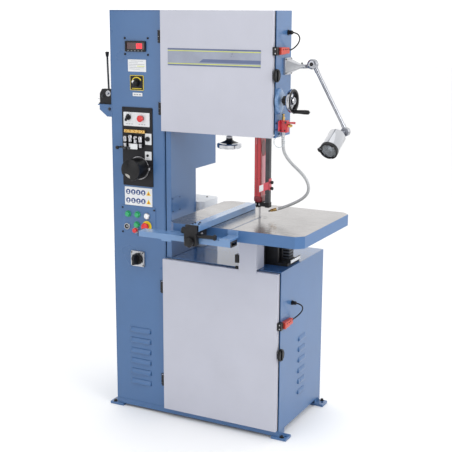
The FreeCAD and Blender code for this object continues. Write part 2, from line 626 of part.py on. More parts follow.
def table_trunnion():
    """Two half-round trunnions under the table, concentric with the blade line at the table's face."""
    halves = []
    for y in TRUNNION_PLACES:
        disc = cylinder("trunnion_r", "16", ("blade_x", "%s - 8" % y, "table_top"), "Y")
        lower_half = box(("300", "40", "200"),
                         ("blade_x - 150", "%s - 20" % y, "table_top - table_t - gap - 200"))
        eye = cylinder("trunnion_r - 30", "24", ("blade_x", "%s - 12" % y, "table_top"), "Y")
        common = doc.addObject("Part::Common", "HalfRound")
        common.Base = disc
        common.Tool = lower_half
        halves.append(cut(common, eye))
    for x in ("blade_x - 104", "blade_x + 76"):
        halves.append(box(("28", "66", "8"), (x, "blade_y + 26", "table_top - table_t - 8 - gap")))
    sub_part("table_trunnion", fuse(*halves))


def trunnion_base():
    """Casting on the cabinet top whose two cradles carry the trunnions, with the tilt scale."""
    cradles = []
    for y in TRUNNION_PLACES:
        block = box(("160", "16", "table_top - 97 - base_top - gap"),
                    ("blade_x - 80", "%s - 8" % y, "base_top + gap"))
        cup = cylinder("trunnion_r + 0.4", "24", ("blade_x", "%s - 12" % y, "table_top"), "Y")
        cradles.append(cut(block, cup))
    foot = box(("210", "134", "14"), ("blade_x - 80", "blade_y + 26", "base_top + gap"))
    scale = box(("6", "116", "16"), ("blade_x + 126", "blade_y + 54", "base_top + 8"))
    block = box(("32", "46", "122.5"), ("804", "186", "base_top + gap"))
    sub_part("trunnion_base", fuse(foot, scale, block, *cradles))


def lower_blade_guard():
    """Light sheet guard before the blade under the table, carried by the lower door."""
    front = box(("89", "2", "168"), ("681", "-door_t - 2*gap - 2", "base_top - 20"))
    side = box(("2", "79", "147"), ("768", "-door_t - 2*gap - 2", "base_top + 1"))
    sub_part("lower_blade_guard", fuse(front, side))


def lower_guide_block():
    """Fixed guide under the table with side jaws and a thrust roller."""
    stand = box(("44", "9", "108"), ("blade_x - 22", "blade_y + 14", "base_top + gap"))
    block = box(("44", "32", "22"), ("blade_x - 22", "blade_y - 16", "base_top + 86"))
    way = box(("4", "blade_w + 32", "150"), ("blade_x - 1.5", "blade_y - 40", "base_top - 10"))
    sub_part("lower_guide_block", cut(fuse(stand, block), way))


def fence_rail():
    """Hollow rail along the table's front on two brackets."""
    tube = box(("rail_w", "rail_deep", "rail_h"), ("rail_x", "rail_y", "rail_z"))
    bore = box(("rail_w + 2", "rail_deep - 5", "rail_h - 5"), ("rail_x - 1", "rail_y + 2.5", "rail_z + 2.5"))
    arms = []
    for x, z in (("722", "rail_z + rail_h"), ("440", "rail_z - 7")):
        arms.append(box(("50", "table_y - rail_y - gap", "7"), (x, "rail_y", z)))
        arms.append(box(("50", "7", "30"), (x, "table_y - gap - 7", z)))
    sub_part("fence_rail", fuse(cut(tube, bore), *arms))


def fence_carriage():
    """Black clamp that rides on the rail and carries the fence bar."""
    body = box(("60", "rail_deep + 46", "78"), ("566", "rail_y - 28", "rail_z - 8"))
    rail_way = box(("80", "rail_deep + 2*gap", "rail_h + 9 + gap"), ("556", "rail_y - gap", "rail_z - 9"))
    bar_room = box(("80", "200", "60"), ("fence_x - gap", "fence_y - 10", "table_top"))
    handle = cylinder("8", "88", ("626", "rail_y - 12", "rail_z + rail_h + 12"), "X")
    side_knob = cylinder("15", "18", ("534", "rail_y + 20", "rail_z + rail_h + 22"), "X")
    side_stem = cylinder("5", "16", ("551", "rail_y + 20", "rail_z + rail_h + 22"), "X")
    knob_bore = cylinder("5 + fit_gap", "60", ("600", "rail_y + 5", "rail_z + 12"), "-Y")
    arm_room = box(("80", "25", "11"), ("556", "rail_y + rail_deep", "rail_z - 9"))
    clamp = cut(body, rail_way, bar_room, knob_bore, arm_room)
    sub_part("fence_carriage", fuse(clamp, handle, side_knob, side_stem))


def fence_bar():
    tube = box(("fence_w", "fence_len", "fence_h"), ("fence_x", "fence_y", "table_top + 1"))
    bore = box(("fence_w - 5", "fence_len + 2", "fence_h - 5"),
               ("fence_x + 2.5", "fence_y - 1", "table_top + 3.5"))
    sub_part("fence_bar", cut(tube, bore))


def fence_lock_knob():
    """Round clamp knob on the front of the carriage."""
    head = cylinder("22", "16", ("600", "rail_y - 34", "rail_z + 12"), "-Y")
    stem = cylinder("5", "24", ("600", "rail_y - 12", "rail_z + 12"), "-Y")
    sub_part("fence_lock_knob", fuse(head, stem))


# ---------------------------------------------------------------- lamp
def lamp():
    """Jointed work lamp: wall bracket, swivel, arm and head, each its own sub-part."""
    flange = cylinder("34", "10", ("head_right + gap", "lamp_y", "lamp_wall_z"), "X")
    horn = cone("26", "12", "58", ("head_right + 10", "lamp_y", "lamp_wall_z"), "X")
    spigot = cylinder("9", "22", ("head_right + 68", "lamp_y", "lamp_wall_z"), "X")
    sub_part("lamp_bracket", fuse(flange, horn, spigot))
    stub = cylinder("8", "7", ("head_right + 90 + 2*gap", "lamp_y", "lamp_wall_z"), "X")
    cheek = cylinder("22", "14", ("shoulder_x", "lamp_y - 16", "shoulder_z"), "Y")
    web = box(("24", "14", "16"), ("head_right + 92", "lamp_y - 16", "lamp_wall_z - 8"))
    pin = cylinder("6", "30", ("shoulder_x", "lamp_y - 15", "shoulder_z"), "Y")
    sub_part("lamp_swivel", fuse(stub, cheek, web, pin))
    start = (value("shoulder_x"), value("lamp_y") + 10, value("shoulder_z"))
    end = (value("elbow_x"), value("lamp_y") + 10, value("elbow_z"))
    turn = between(start, end)
    length = V(*end).sub(V(*start)).Length
    tube = cylinder("lamp_tube_r", "%.3f" % length, ("shoulder_x", "lamp_y + 10", "shoulder_z"), turn)
    eye = cylinder("22", "16", ("shoulder_x", "lamp_y - 1", "shoulder_z"), "Y")
    elbow = cylinder("19", "16", ("elbow_x", "lamp_y - 1", "elbow_z"), "Y")
    eye_bore = cylinder("6.05", "40", ("shoulder_x", "lamp_y - 20", "shoulder_z"), "Y")
    elbow_bore = cylinder("5.05", "40", ("elbow_x", "lamp_y - 20", "elbow_z"), "Y")
    sub_part("lamp_arm", cut(fuse(tube, eye, elbow), eye_bore, elbow_bore))
    tail = (value("elbow_x") - 13.4, value("lamp_y") - 58.6, value("elbow_z") - 8.3)
    aim = V(-0.015, -0.858, -0.515)
    nose = V(*tail).add(aim * value("lamp_len"))
    head_turn = between(tail, (nose.x, nose.y, nose.z))
    tail_at = ("elbow_x - 13.4", "lamp_y - 58.6", "elbow_z - 8.3")
    can = cylinder("lamp_r", "lamp_len", tail_at, head_turn)
    hollow_at = ["%s + %.3f" % (text, part * 66) for text, part in zip(tail_at, aim)]
    hollow = cylinder("lamp_r - 5", "60", hollow_at, head_turn)
    knuckle = cylinder("19", "12", ("elbow_x", "lamp_y - 14", "elbow_z"), "Y")
    elbow_pin = cylinder("5", "30", ("elbow_x", "lamp_y - 15", "elbow_z"), "Y")
    neck = box(("30", "66", "16"), ("elbow_x - 30", "lamp_y - 70", "elbow_z - 8"))
    bulb = cylinder("14", "30", ["%s + %.3f" % (text, part * 64) for text, part in zip(tail_at, aim)],
                    head_turn)
    sub_part("lamp_head", fuse(cut(can, hollow), knuckle, elbow_pin, neck, bulb))


# ---------------------------------------------------------------- coolant
def coolant():
    """Cock on the head's side wall, its lever, the hose and the nozzle at the blade."""
    pad = box(("valve_x - head_right - gap", "valve_deep + 12", "valve_h - 8"),
              ("head_right + gap", "valve_y - 6", "valve_z + 4"))
    block = box(("valve_w", "valve_deep", "valve_h"), ("valve_x", "valve_y", "valve_z"))
    inlet = cylinder("6", "26", ("valve_x + 11", "valve_y + valve_deep/2", "valve_z + valve_h"))
    outlet = cylinder("7.5", "24", ("valve_x + 11", "valve_y + valve_deep/2", "valve_z - 24"))
    spindle = cylinder("5", "9", ("valve_x + 31", "valve_y", "valve_z + 44"), "-Y")
    sub_part("coolant_valve", fuse(pad, block, inlet, outlet, spindle))
    hub = cylinder("9", "6", ("valve_x + 31", "valve_y - 2", "valve_z + 44"), "-Y")
    bore = cylinder("5.05", "20", ("valve_x + 31", "valve_y", "valve_z + 44"), "-Y")
    lever = box(("41", "4", "8"), ("valve_x + 35", "valve_y - 7", "valve_z + 40"))
    sub_part("coolant_lever", cut(fuse(hub, lever), bore))
    cord("coolant_hose", HOSE_ROUTE, value("hose_r"))
    tip = HOSE_ROUTE[-1]
    before = HOSE_ROUTE[-2]
    turn = between(before, tip)
    along = V(*tip).sub(V(*before)).normalize()
    ferrule = cylinder("7.5", "10", [str(c) for c in tip], turn)
    mid = V(*tip).add(along * 10)
    jet = cone("6", "3", "26", [str(round(c, 3)) for c in mid], turn)
    sub_part("coolant_nozzle", fuse(ferrule, jet))


HOSE_ROUTE = [
    (859, 42, 1384), (859, 42, 1348), (866, 45, 1312), (894, 51, 1275), (929, 56, 1245),
    (960, 60, 1214), (976, 64, 1178), (970, 68, 1143), (938, 71, 1113), (892, 74, 1088),
    (848, 76, 1068), (812, 77, 1056),
]
UPPER_CABLE_ROUTE = [
    (852, 98, 1753), (852, 122, 1753), (863, 140, 1763), (880, 144, 1783), (890, 136, 1805),
    (884, 120, 1825), (865, 117, 1828),
]
LOWER_CABLE_ROUTE = [
    (892, 98, 547), (892, 123, 547), (903, 141, 557), (920, 146, 577), (930, 138, 600),
    (924, 124, 619), (905, 121, 622),
]


def cord(label, route, radius):
    """A flexible tube: straight runs joined by tangent arcs as large as the runs allow."""
    points = [V(*p) for p in route]
    edges = []
    radii = []
    at = points[0]
    for before, corner, after in zip(points, points[1:], points[2:]):
        incoming = corner.sub(before)
        outgoing = after.sub(corner)
        turn = incoming.getAngle(outgoing)
        setback = 0.45 * min(incoming.Length, outgoing.Length)
        bend = setback / math.tan(turn / 2)
        radii.append(round(bend, 1))
        inward = incoming.normalize()
        outward = outgoing.normalize()
        start = corner.sub(inward * setback)
        stop = corner.add(outward * setback)
        middle_way = outward.sub(inward).normalize()
        middle = corner.add(middle_way * (bend / math.cos(turn / 2) - bend))
        edges.append(Part.LineSegment(at, start).toShape())
        edges.append(Part.Arc(start, middle, stop).toShape())
        at = stop
    edges.append(Part.LineSegment(at, points[-1]).toShape())
    path = Part.Wire(edges)
    first = points[1].sub(points[0])
    section = Part.Wire([Part.Circle(points[0], first, radius).toShape()])
    solid = path.makePipeShell([section], True, False)
    tube = doc.addObject("Part::Feature", label + "_tube")
    tube.Shape = solid
    expected = math.pi * radius ** 2 * path.Length
    print("%s length %.0f radii %s volume ratio %.4f" % (label, path.Length, radii, solid.Volume / expected))
    sub_part(label, tube)


def interlocks():
    """Door safety switches on the side walls, each with its rear gland, and the wall glands."""
    pieces = []
    for wall, z, route in (("head_right", "1753", UPPER_CABLE_ROUTE), ("base_w", "547", LOWER_CABLE_ROUTE)):
        case = box(("21.5", "88", "30"), ("%s + gap" % wall, "4", "%s - 15" % z))
        slot = box(("8", "30", "20"), ("%s + 4" % wall, "3", "%s - 10" % z))
        rear = cylinder("6", "6", ("%s + 11" % wall, "92", z), "Y")
        pieces.append(fuse(cut(case, slot), rear))
        end = route[-1]
        pieces.append(cylinder("9.5", "%s - %s - gap" % (end[0], wall), ("%s + gap" % wall, end[1], end[2]),
                               "X"))
    sub_part("interlock_switches", group(*pieces))


# ---------------------------------------------------------------- controls on the column
def front_plate(at_x, at_z, wide, high, thick="3"):
    return box((wide, thick, high), (at_x, "-gap - %s" % thick, at_z))


def control_plates():
    """Plates on the column's face: display, speed dial, button plate, switch plate and labels."""
    display = front_plate("86", "1735", "109", "49", "7")
    info = front_plate("97", "1645", "97", "55", "1")
    dial = front_plate("108", "1561", "72", "68", "3")
    small = front_plate("120", "1534", "52", "16", "1")
    buttons = front_plate("48", "882", "188", "138", "2")
    signs = front_plate("67", "1022", "151", "86", "1")
    switch = front_plate("99", "729", "74", "74", "9")
    bezels = [cylinder("button_r + 3", "10", (x, "-gap", z), "-Y") for x, z in BUTTON_PLACES]
    button_wells = [cylinder("button_r + 0.4", "10", (x, "-gap - 2", z), "-Y") for x, z in BUTTON_PLACES]
    dial_bore = cylinder("5.1", "10", ("144", "1", "1594"), "-Y")
    switch_bore = cylinder("8.1", "14", ("136", "1", "766"), "-Y")
    pilot = cylinder("button_r", "10", ("189", "-gap - 2", "977"), "-Y")
    socket = cylinder("button_r", "7", ("80", "-gap - 2", "918"), "-Y")
    sub_part("control_plates", group(display, info, cut(dial, dial_bore), small,
                                     fuse(cut(fuse(buttons, *bezels), *button_wells), pilot, socket), signs,
                                     cut(switch, switch_bore)))


BUTTON_PLACES = (("85", "979"), ("137", "980"), ("133", "931"), ("127", "904"), ("188", "929"))


def push_button(label, place_xz, length, head=None):
    """Button that sinks into its bezel; head is the radius of a mushroom cap."""
    x, z = place_xz
    stem = cylinder("button_r", length, (x, "-gap - button_travel - 3", z), "-Y")
    if head is None:
        sub_part(label, stem)
        return
    cap = cylinder(head, "9", (x, "-gap - button_travel - 2 - %s" % length, z), "-Y")
    sub_part(label, fuse(stem, cap))


def buttons():
    push_button("green_button_left", BUTTON_PLACES[0], "button_t - 4")
    push_button("green_button_right", BUTTON_PLACES[1], "button_t - 4")
    push_button("start_button", BUTTON_PLACES[2], "button_t - 4")
    push_button("stop_button", BUTTON_PLACES[3], "button_t")
    push_button("emergency_stop", BUTTON_PLACES[4], "button_t", "19")


def knobs():
    """Turning knobs on the column's face."""
    speed = fuse(cylinder("14", "18", ("144", "-4 - gap", "1594"), "-Y"),
                 cylinder("5", "6", ("144", "-gap", "1594"), "-Y"))
    sub_part("speed_knob", speed)
    switch = fuse(cylinder("27", "12", ("136", "-10 - gap", "766"), "-Y"),
                  box(("12", "14", "50"), ("130", "-36 - gap", "741")),
                  cylinder("8", "12", ("136", "-gap", "766"), "-Y"))
    sub_part("main_switch_knob", switch)
    selector = fuse(cylinder("11", "8", ("99", "-9 - gap", "1436"), "-Y"),
                    box(("7", "10", "24"), ("95.5", "-25 - gap", "1424")),
                    cylinder("4", "9", ("99", "-2 - gap", "1436"), "-Y"))
    sub_part("weld_selector_knob", selector)
    weld = fuse(cylinder("15", "10", ("169", "-17 - gap", "1434"), "-Y"),
                cylinder("7", "14", ("169", "-4 - gap", "1434"), "-Y"))
    sub_part("weld_button", weld)


def welder():
    """Butt welder panel with its white plates, busbar and the two blade clamps' jaws."""
    panel = front_plate("61", "1117", "164", "366", "3")
    top_plate = box(("140", "2", "62"), ("70", "-5.5", "1396"))
    bores = [cylinder("7.1", "12", ("169", "1", "1434"), "-Y"),
             cylinder("4.1", "12", ("99", "1", "1436"), "-Y")]
    busbar = box(("112", "10", "14"), ("77", "-13.5", "1366"))
    jaws = [box(("18", "27", "64"), ("%d" % x, "-30", "1290")) for x in (76, 104)]
    lever_bore = cylinder("5.1", "80", ("56", "-20", "1298"), "X")
    right_plates = [box(("34", "2", "52"), ("186", "-5.5", "1314")),
                    box(("36", "2", "40"), ("184", "-5.5", "1243"))]
    spindle = cylinder("6", "71", ("grind_x", "-3", "grind_z"), "-Y")
    sub_part("welder_panel", fuse(cut(fuse(panel, top_plate), *bores), busbar, cut(fuse(*jaws), lever_bore),
                                  *right_plates, spindle))


def weld_clamp_lever():
    rod = cylinder("5", "70", ("58", "-20", "1298"), "X")
    arm = box(("8", "30", "8"), ("58", "-48", "1294"))
    ball = cylinder("8", "16", ("54", "-48", "1298"), "X")
    sub_part("weld_clamp_lever", fuse(rod, arm, ball))


def grinder():
    """Grinding wheel for dressing the weld, under a drum guard open at its lower left."""
    wheel = cylinder("42", "14", ("grind_x", "-58", "grind_z"), "-Y")
    bore = cylinder("6.05", "90", ("grind_x", "0", "grind_z"), "-Y")
    sub_part("grinding_wheel", cut(wheel, bore))
    drum = cylinder("50", "76", ("grind_x", "-4", "grind_z"), "-Y")
    room = cylinder("46", "76", ("grind_x", "0", "grind_z"), "-Y")
    mouth = box(("62", "41", "30"), ("100", "-81", "1145"))
    foot = box(("24", "8", "24"), ("196", "-11.5", "1191"))
    foot_room = cylinder("46", "76", ("grind_x", "0", "grind_z"), "-Y")
    sub_part("grinder_guard", fuse(cut(drum, room, mouth), cut(foot, foot_room)))


def blade_shear():
    """Hand shear for cutting blade stock, on a bracket on the column's left wall."""
    shelf = box(("85", "80", "5"), ("-85 - gap", "14", "1482"))
    back = box(("5", "80", "57"), ("-5 - gap", "14", "1426"))
    web = box(("74", "4", "53"), ("-76", "14", "1430"))
    plate = box(("80", "60", "6"), ("-85", "22", "1487"))
    body = box(("65", "24", "71"), ("-79", "22", "1487"))
    jaw_room = box(("80", "8", "30"), ("-100", "30", "1510"))
    pivot = cylinder("5", "16", (SHEAR_PIVOT[0], "46", SHEAR_PIVOT[1]), "Y")
    sub_part("blade_shear", fuse(shelf, back, web, plate, cut(body, jaw_room), pivot))


SHEAR_PIVOT = ("-48", "1540")


def shear_lever():
    """Long hand lever of the shear on its pivot pin."""
    start, end = (-48, 53, 1548), (-53, 53, 1706)
    turn = between(start, end)
    rod = cylinder("4.5", "159", [str(c) for c in start], turn)
    knob = cone("7", "9.5", "23", [str(c) for c in end], turn)
    eye = cylinder("13", "11", (SHEAR_PIVOT[0], "47.5", SHEAR_PIVOT[1]), "Y")
    bore = cylinder("5.05", "30", (SHEAR_PIVOT[0], "40", SHEAR_PIVOT[1]), "Y")
    sub_part("shear_lever", cut(fuse(rod, knob, eye), bore))


# ---------------------------------------------------------------- build everything
def build():
    base_cabinet()
    foot_plates()
    column_frame()
    column_front_cover()
    upper_housing()
    rear_cover()
    door_hinges()
    door("upper_door", "head_right - door_inset", "head_bottom", "overall_h", HINGE_BOTTOMS[:2], "1651",
         "1753")
    door("lower_door", "base_w - door_inset", "lower_door_bottom", "base_top - 6", HINGE_BOTTOMS[2:], "413",
         "547")
    door_knob("upper_door_knob", "head_right - door_inset", "1651")
    door_knob("lower_door_knob", "base_w - door_inset", "413")
    band_wheel("upper_wheel", "upper_axle")
    band_wheel("lower_wheel", "lower_axle")
    saw_blade()
    wheel_carriage()
    tension_handwheel()
    drive()
    guide_post()
    upper_blade_guard()
    upper_guide_block()
    post_gearbox()
    post_handwheel()
    handwheel_grip()
    post_lock_knob()
    table_top()
    table_trunnion()
    trunnion_base()
    lower_blade_guard()
    lower_guide_block()
    fence_rail()
    fence_carriage()
    fence_bar()
    fence_lock_knob()
    lamp()
    coolant()
    interlocks()
    cord("upper_interlock_cable", UPPER_CABLE_ROUTE, value("cable_r"))
    cord("lower_interlock_cable", LOWER_CABLE_ROUTE, value("cable_r"))
    control_plates()
    buttons()
    knobs()
    welder()
    weld_clamp_lever()
    grinder()
    blade_shear()
    shear_lever()


def check_and_write():
    doc.recompute()
    for obj in doc.Objects:
        if "Invalid" in obj.State or "Error" in obj.State:
            raise RuntimeError("%s (%s) failed: %s" % (obj.Name, obj.Label, obj.State))
    os.makedirs("parts", exist_ok=True)
    for label, obj in SUB_PARTS.items():
        shape = obj.Shape
        if shape.isNull() or not shape.isValid() or not shape.Solids:
            raise RuntimeError("%s has no valid solid" % label)
        print("%-24s solids %d volume %.0f" % (label, len(shape.Solids), shape.Volume))
        shape.exportStep("parts/%s.step" % label)
    print("%d sub-parts" % len(SUB_PARTS))


build()
check_and_write()
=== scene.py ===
"""Looks of a vertical metal-cutting band saw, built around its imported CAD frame."""
import math
import bmesh
import bpy
from mathutils import Matrix, Vector


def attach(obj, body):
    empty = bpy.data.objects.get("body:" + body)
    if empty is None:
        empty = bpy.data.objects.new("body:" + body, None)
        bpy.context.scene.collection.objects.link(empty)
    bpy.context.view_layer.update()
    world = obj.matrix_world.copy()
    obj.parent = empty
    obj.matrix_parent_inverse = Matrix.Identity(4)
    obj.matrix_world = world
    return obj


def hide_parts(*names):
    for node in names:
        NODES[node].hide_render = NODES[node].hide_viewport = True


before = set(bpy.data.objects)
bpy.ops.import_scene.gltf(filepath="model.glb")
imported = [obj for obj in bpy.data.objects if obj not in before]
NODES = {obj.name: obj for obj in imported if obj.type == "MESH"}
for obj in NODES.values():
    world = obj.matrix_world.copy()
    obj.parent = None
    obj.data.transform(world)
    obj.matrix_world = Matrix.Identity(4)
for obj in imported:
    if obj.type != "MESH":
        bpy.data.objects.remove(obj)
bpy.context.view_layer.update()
DATUM = (440.5, 246.5)                       # from the column corner to the row's origin, mm
WHEEL_X, BLADE_Y = 513.5, 75
WHEEL_AXLES = {"upper_wheel": 1652, "lower_wheel": 510}
DEEP_BLACK = 0.02                            # finishes darker than this get a weaker reflection
scene = bpy.context.scene


def P(x, y, z):
    """A point given in machine millimetres (column corner datum), in the row frame in metres."""
    return Vector(((x - DATUM[0]) / 1000, (y - DATUM[1]) / 1000, z / 1000))


# ---------------------------------------------------------------- camera
CAMERA_AT = (2.1263, -4.0201, 1.9231)


def make_camera():
    yaw, pitch, roll = (math.radians(degrees) for degrees in (27.474, 12.585, 0.21))
    data = bpy.data.cameras.new("camera")
    data.lens = 77.23
    data.sensor_width = 36
    camera = bpy.data.objects.new("camera", data)
    scene.collection.objects.link(camera)
    forward = Vector((-math.sin(yaw) * math.cos(pitch), math.cos(yaw) * math.cos(pitch), -math.sin(pitch)))
    turn = forward.to_track_quat("-Z", "Y").to_matrix() @ Matrix.Rotation(roll, 3, "Z")
    camera.matrix_world = Matrix.Translation(CAMERA_AT) @ turn.to_4x4()
    scene.camera = camera


make_camera()


# ---------------------------------------------------------------- materials
def new_material(name):
    """A material with its node tree and its shader."""
    material = bpy.data.materials.new(name)
    material.use_nodes = True
    tree = material.node_tree
    return material, tree, tree.nodes["Principled BSDF"]


def add_node(tree, kind, **sockets):
    """A node with some of its inputs set; _ in a name stands for a space."""
    node = tree.nodes.new(kind)
    for key, value in sockets.items():
        node.inputs[key.replace("_", " ")].default_value = value
    return node


def object_noise(tree, scale, detail=3, stretch=(1, 1, 1)):
    """Noise in object coordinates, stretched along chosen axes; returns its factor socket."""
    place = tree.nodes.new("ShaderNodeTexCoord")
    mapping = add_node(tree, "ShaderNodeMapping", Scale=stretch)
    noise = add_node(tree, "ShaderNodeTexNoise", Scale=scale, Detail=detail)
    tree.links.new(place.outputs["Object"], mapping.inputs["Vector"])
    tree.links.new(mapping.outputs["Vector"], noise.inputs["Vector"])
    return noise.outputs["Fac"]


def spread(tree, factor, low, high, start=0.3, end=0.7):
    """Map start..end of a factor to low..high."""
    node = add_node(tree, "ShaderNodeMapRange", From_Min=start, From_Max=end, To_Min=low, To_Max=high)
    tree.links.new(factor, node.inputs["Value"])
    return node.outputs["Result"]


def blend_colours(tree, factor, first, second):
    """Mix two colours, each given as a socket or as numbers."""
    node = tree.nodes.new("ShaderNodeMix")
    node.data_type = "RGBA"
    tree.links.new(factor, node.inputs["Factor"])
    for socket, colour in ((node.inputs[6], first), (node.inputs[7], second)):
        if hasattr(colour, "links"):
            tree.links.new(colour, socket)
        else:
            socket.default_value = (*colour, 1)
    return node.outputs[2]


def mottled(tree, factor, colour, vary):
    """The colour, a little darker and lighter by turns."""
    low = tuple(c * (1 - vary) for c in colour)
    high = tuple(min(1, c * (1 + vary)) for c in colour)
    return blend_colours(tree, spread(tree, factor, 0, 1), low, high)


def add_relief(tree, shader, height, strength, distance):
    """Bump from a height socket; distance in metres."""
    relief = add_node(tree, "ShaderNodeBump", Strength=strength, Distance=distance)
    tree.links.new(height, relief.inputs["Height"])
    tree.links.new(relief.outputs["Normal"], shader.inputs["Normal"])


def vector_math(tree, operation, socket, other=None):
    """A vector operation on a socket and, where it takes one, a fixed vector."""
    node = tree.nodes.new("ShaderNodeVectorMath")
    node.operation = operation
    tree.links.new(socket, node.inputs[0])
    if other is not None:
        node.inputs[1].default_value = other
    return node.outputs["Value" if operation in ("LENGTH", "DOT_PRODUCT") else "Vector"]


def larger(tree, first, second):
    node = tree.nodes.new("ShaderNodeMath")
    node.operation = "MAXIMUM"
    tree.links.new(first, node.inputs[0])
    tree.links.new(second, node.inputs[1])
    return node.outputs[0]


def surface(name, colour, rough, metal=0.0, vary=0.06, grain=(1, 1, 1), grain_scale=900, bump=0.03,
            coat=0.0, patch=6.0):
    """A finish with slow patches of colour, a fine grain in its bump and an uneven gloss."""
    material, tree, shader = new_material(name)
    slow = object_noise(tree, patch, 4)
    tree.links.new(mottled(tree, slow, colour, vary), shader.inputs["Base Color"])
    tree.links.new(spread(tree, slow, rough * 0.85, rough * 1.15), shader.inputs["Roughness"])
    add_relief(tree, shader, object_noise(tree, grain_scale, 2, grain), bump * 4, 0.0004)
    shader.inputs["Metallic"].default_value = metal
    shader.inputs["Coat Weight"].default_value = coat
    shader.inputs["Coat Roughness"].default_value = 0.15
    if max(colour) < DEEP_BLACK:
        shader.inputs["Specular IOR Level"].default_value = 0.3
    return material


def upward_mask(tree, start=0.8, end=0.9):
    """1 on faces that look up in the piece's own frame."""
    place = tree.nodes.new("ShaderNodeTexCoord")
    split = tree.nodes.new("ShaderNodeSeparateXYZ")
    tree.links.new(place.outputs["Normal"], split.inputs["Vector"])
    return spread(tree, split.outputs["Z"], 0, 1, start, end)


def radius_mask(tree, centre, inner, outer):
    """1 beyond a radius from a Y axis through the centre, softly between inner and outer."""
    place = tree.nodes.new("ShaderNodeTexCoord")
    offset = vector_math(tree, "SUBTRACT", place.outputs["Object"], centre)
    flat = vector_math(tree, "MULTIPLY", offset, (1, 0, 1))
    return spread(tree, vector_math(tree, "LENGTH", flat), 0, 1, inner, outer)


BLUE = (0.055, 0.14, 0.31)
PALE = (0.495, 0.503, 0.572)
M_BLUE = surface("blue_enamel", BLUE, 0.32, vary=0.05, bump=0.015, coat=0.3, grain_scale=700)
M_BLUE_BRIGHT = surface("blue_gloss", (0.13, 0.25, 0.46), 0.22, vary=0.06, bump=0.01, coat=0.6)
M_PALE = surface("pale_enamel", PALE, 0.42, vary=0.03, bump=0.025, coat=0.15, grain_scale=700)
M_WHITE = surface("white_enamel", (0.74, 0.76, 0.78), 0.4, vary=0.03, bump=0.02, coat=0.2)
M_BLACK = surface("black_enamel", (0.009, 0.009, 0.011), 0.36, vary=0.25, bump=0.05, patch=40)
M_PANEL = surface("black_panel", (0.009, 0.009, 0.012), 0.45, vary=0.3, bump=0.09, patch=25, grain_scale=1500)
M_CAST = surface("black_casting", (0.012, 0.012, 0.014), 0.5, vary=0.35, bump=0.35, patch=60, grain_scale=420)
M_PLASTIC = surface("black_moulding", (0.007, 0.007, 0.008), 0.32, vary=0.3, bump=0.03, patch=60)
M_RED = surface("red_enamel", (0.5, 0.008, 0.018), 0.3, vary=0.08, bump=0.02, coat=0.5)
M_DARKRED = surface("dark_red_enamel", (0.17, 0.004, 0.01), 0.35, vary=0.15, bump=0.02, coat=0.3)
# Pink standing for light on the red guard: painted sheen on its side and a painted highlight line on its
# front.
M_PAINTED_HIGHLIGHT = surface("pink_painted_highlight", (0.72, 0.27, 0.31), 0.35, vary=0.1, bump=0.01, coat=0.3)
M_ROSE = surface("rose_red_enamel", (0.66, 0.07, 0.1), 0.38, vary=0.1, bump=0.03, coat=0.3)
M_ORANGE = surface("orange_red_moulding", (0.52, 0.05, 0.03), 0.38, vary=0.1, bump=0.03, patch=50)
M_YELLOW = surface("yellow_print", (0.82, 0.62, 0.02), 0.45, vary=0.05, bump=0.01)
M_LIME = surface("lime_print", (0.6, 0.66, 0.07), 0.4, vary=0.06, bump=0.01)
M_SLATE = surface("slate_print", (0.1, 0.13, 0.24), 0.35, vary=0.1, bump=0.01)
M_SILVER = surface("silver_print", (0.27, 0.295, 0.36), 0.32, metal=0.3, vary=0.12, bump=0.01, patch=12)
M_GREEN = surface("green_button", (0.012, 0.36, 0.13), 0.28, vary=0.1, bump=0.01, coat=0.4, patch=60)
M_REDBTN = surface("red_button", (0.66, 0.012, 0.012), 0.28, vary=0.08, bump=0.01, coat=0.4, patch=60)
M_WHITEBTN = surface("white_lens", (0.85, 0.86, 0.87), 0.25, vary=0.03, bump=0.01, coat=0.4, patch=60)
M_PLATE = surface("white_plate", (0.74, 0.75, 0.76), 0.4, vary=0.04, bump=0.015, patch=30)
M_GREYINK = surface("grey_ink", (0.3, 0.31, 0.33), 0.5, vary=0.15, bump=0.01, patch=200)
M_BLUEINK = surface("blue_ink", (0.012, 0.05, 0.2), 0.4, vary=0.1, bump=0.01, patch=100)
M_CHROME = surface("chrome", (0.5, 0.51, 0.54), 0.08, metal=1, vary=0.03, bump=0.004, patch=25)
M_STEEL = surface("brushed_steel", (0.52, 0.52, 0.54), 0.3, metal=1, vary=0.12, bump=0.06, patch=25,
                  grain=(1, 1, 0.04), grain_scale=1600)
M_SATIN = surface("satin_aluminium", (0.37, 0.38, 0.41), 0.24, metal=1, vary=0.06, bump=0.05, patch=20,
                  grain=(0.05, 1, 1), grain_scale=1500)
M_CASTALU = surface("cast_aluminium", (0.5, 0.51, 0.53), 0.36, metal=0.85, vary=0.08, bump=0.12, patch=30,
                    grain_scale=500)
M_DARKSTEEL = surface("dark_steel", (0.06, 0.062, 0.068), 0.36, metal=0.8, vary=0.2, bump=0.08, patch=30,
                      grain=(1, 1, 0.05), grain_scale=1300)
M_BRASS = surface("brass", (0.64, 0.42, 0.15), 0.26, metal=1, vary=0.12, bump=0.04, patch=60)
M_RUBBER = surface("cable_rubber", (0.014, 0.014, 0.015), 0.55, vary=0.2, bump=0.06, patch=80)
M_ABRASIVE = surface("abrasive", (0.55, 0.53, 0.49), 0.9, vary=0.25, bump=0.8, patch=300, grain_scale=900)
M_MOTOR = surface("motor_grey", (0.12, 0.13, 0.15), 0.5, vary=0.1, bump=0.12, patch=15)


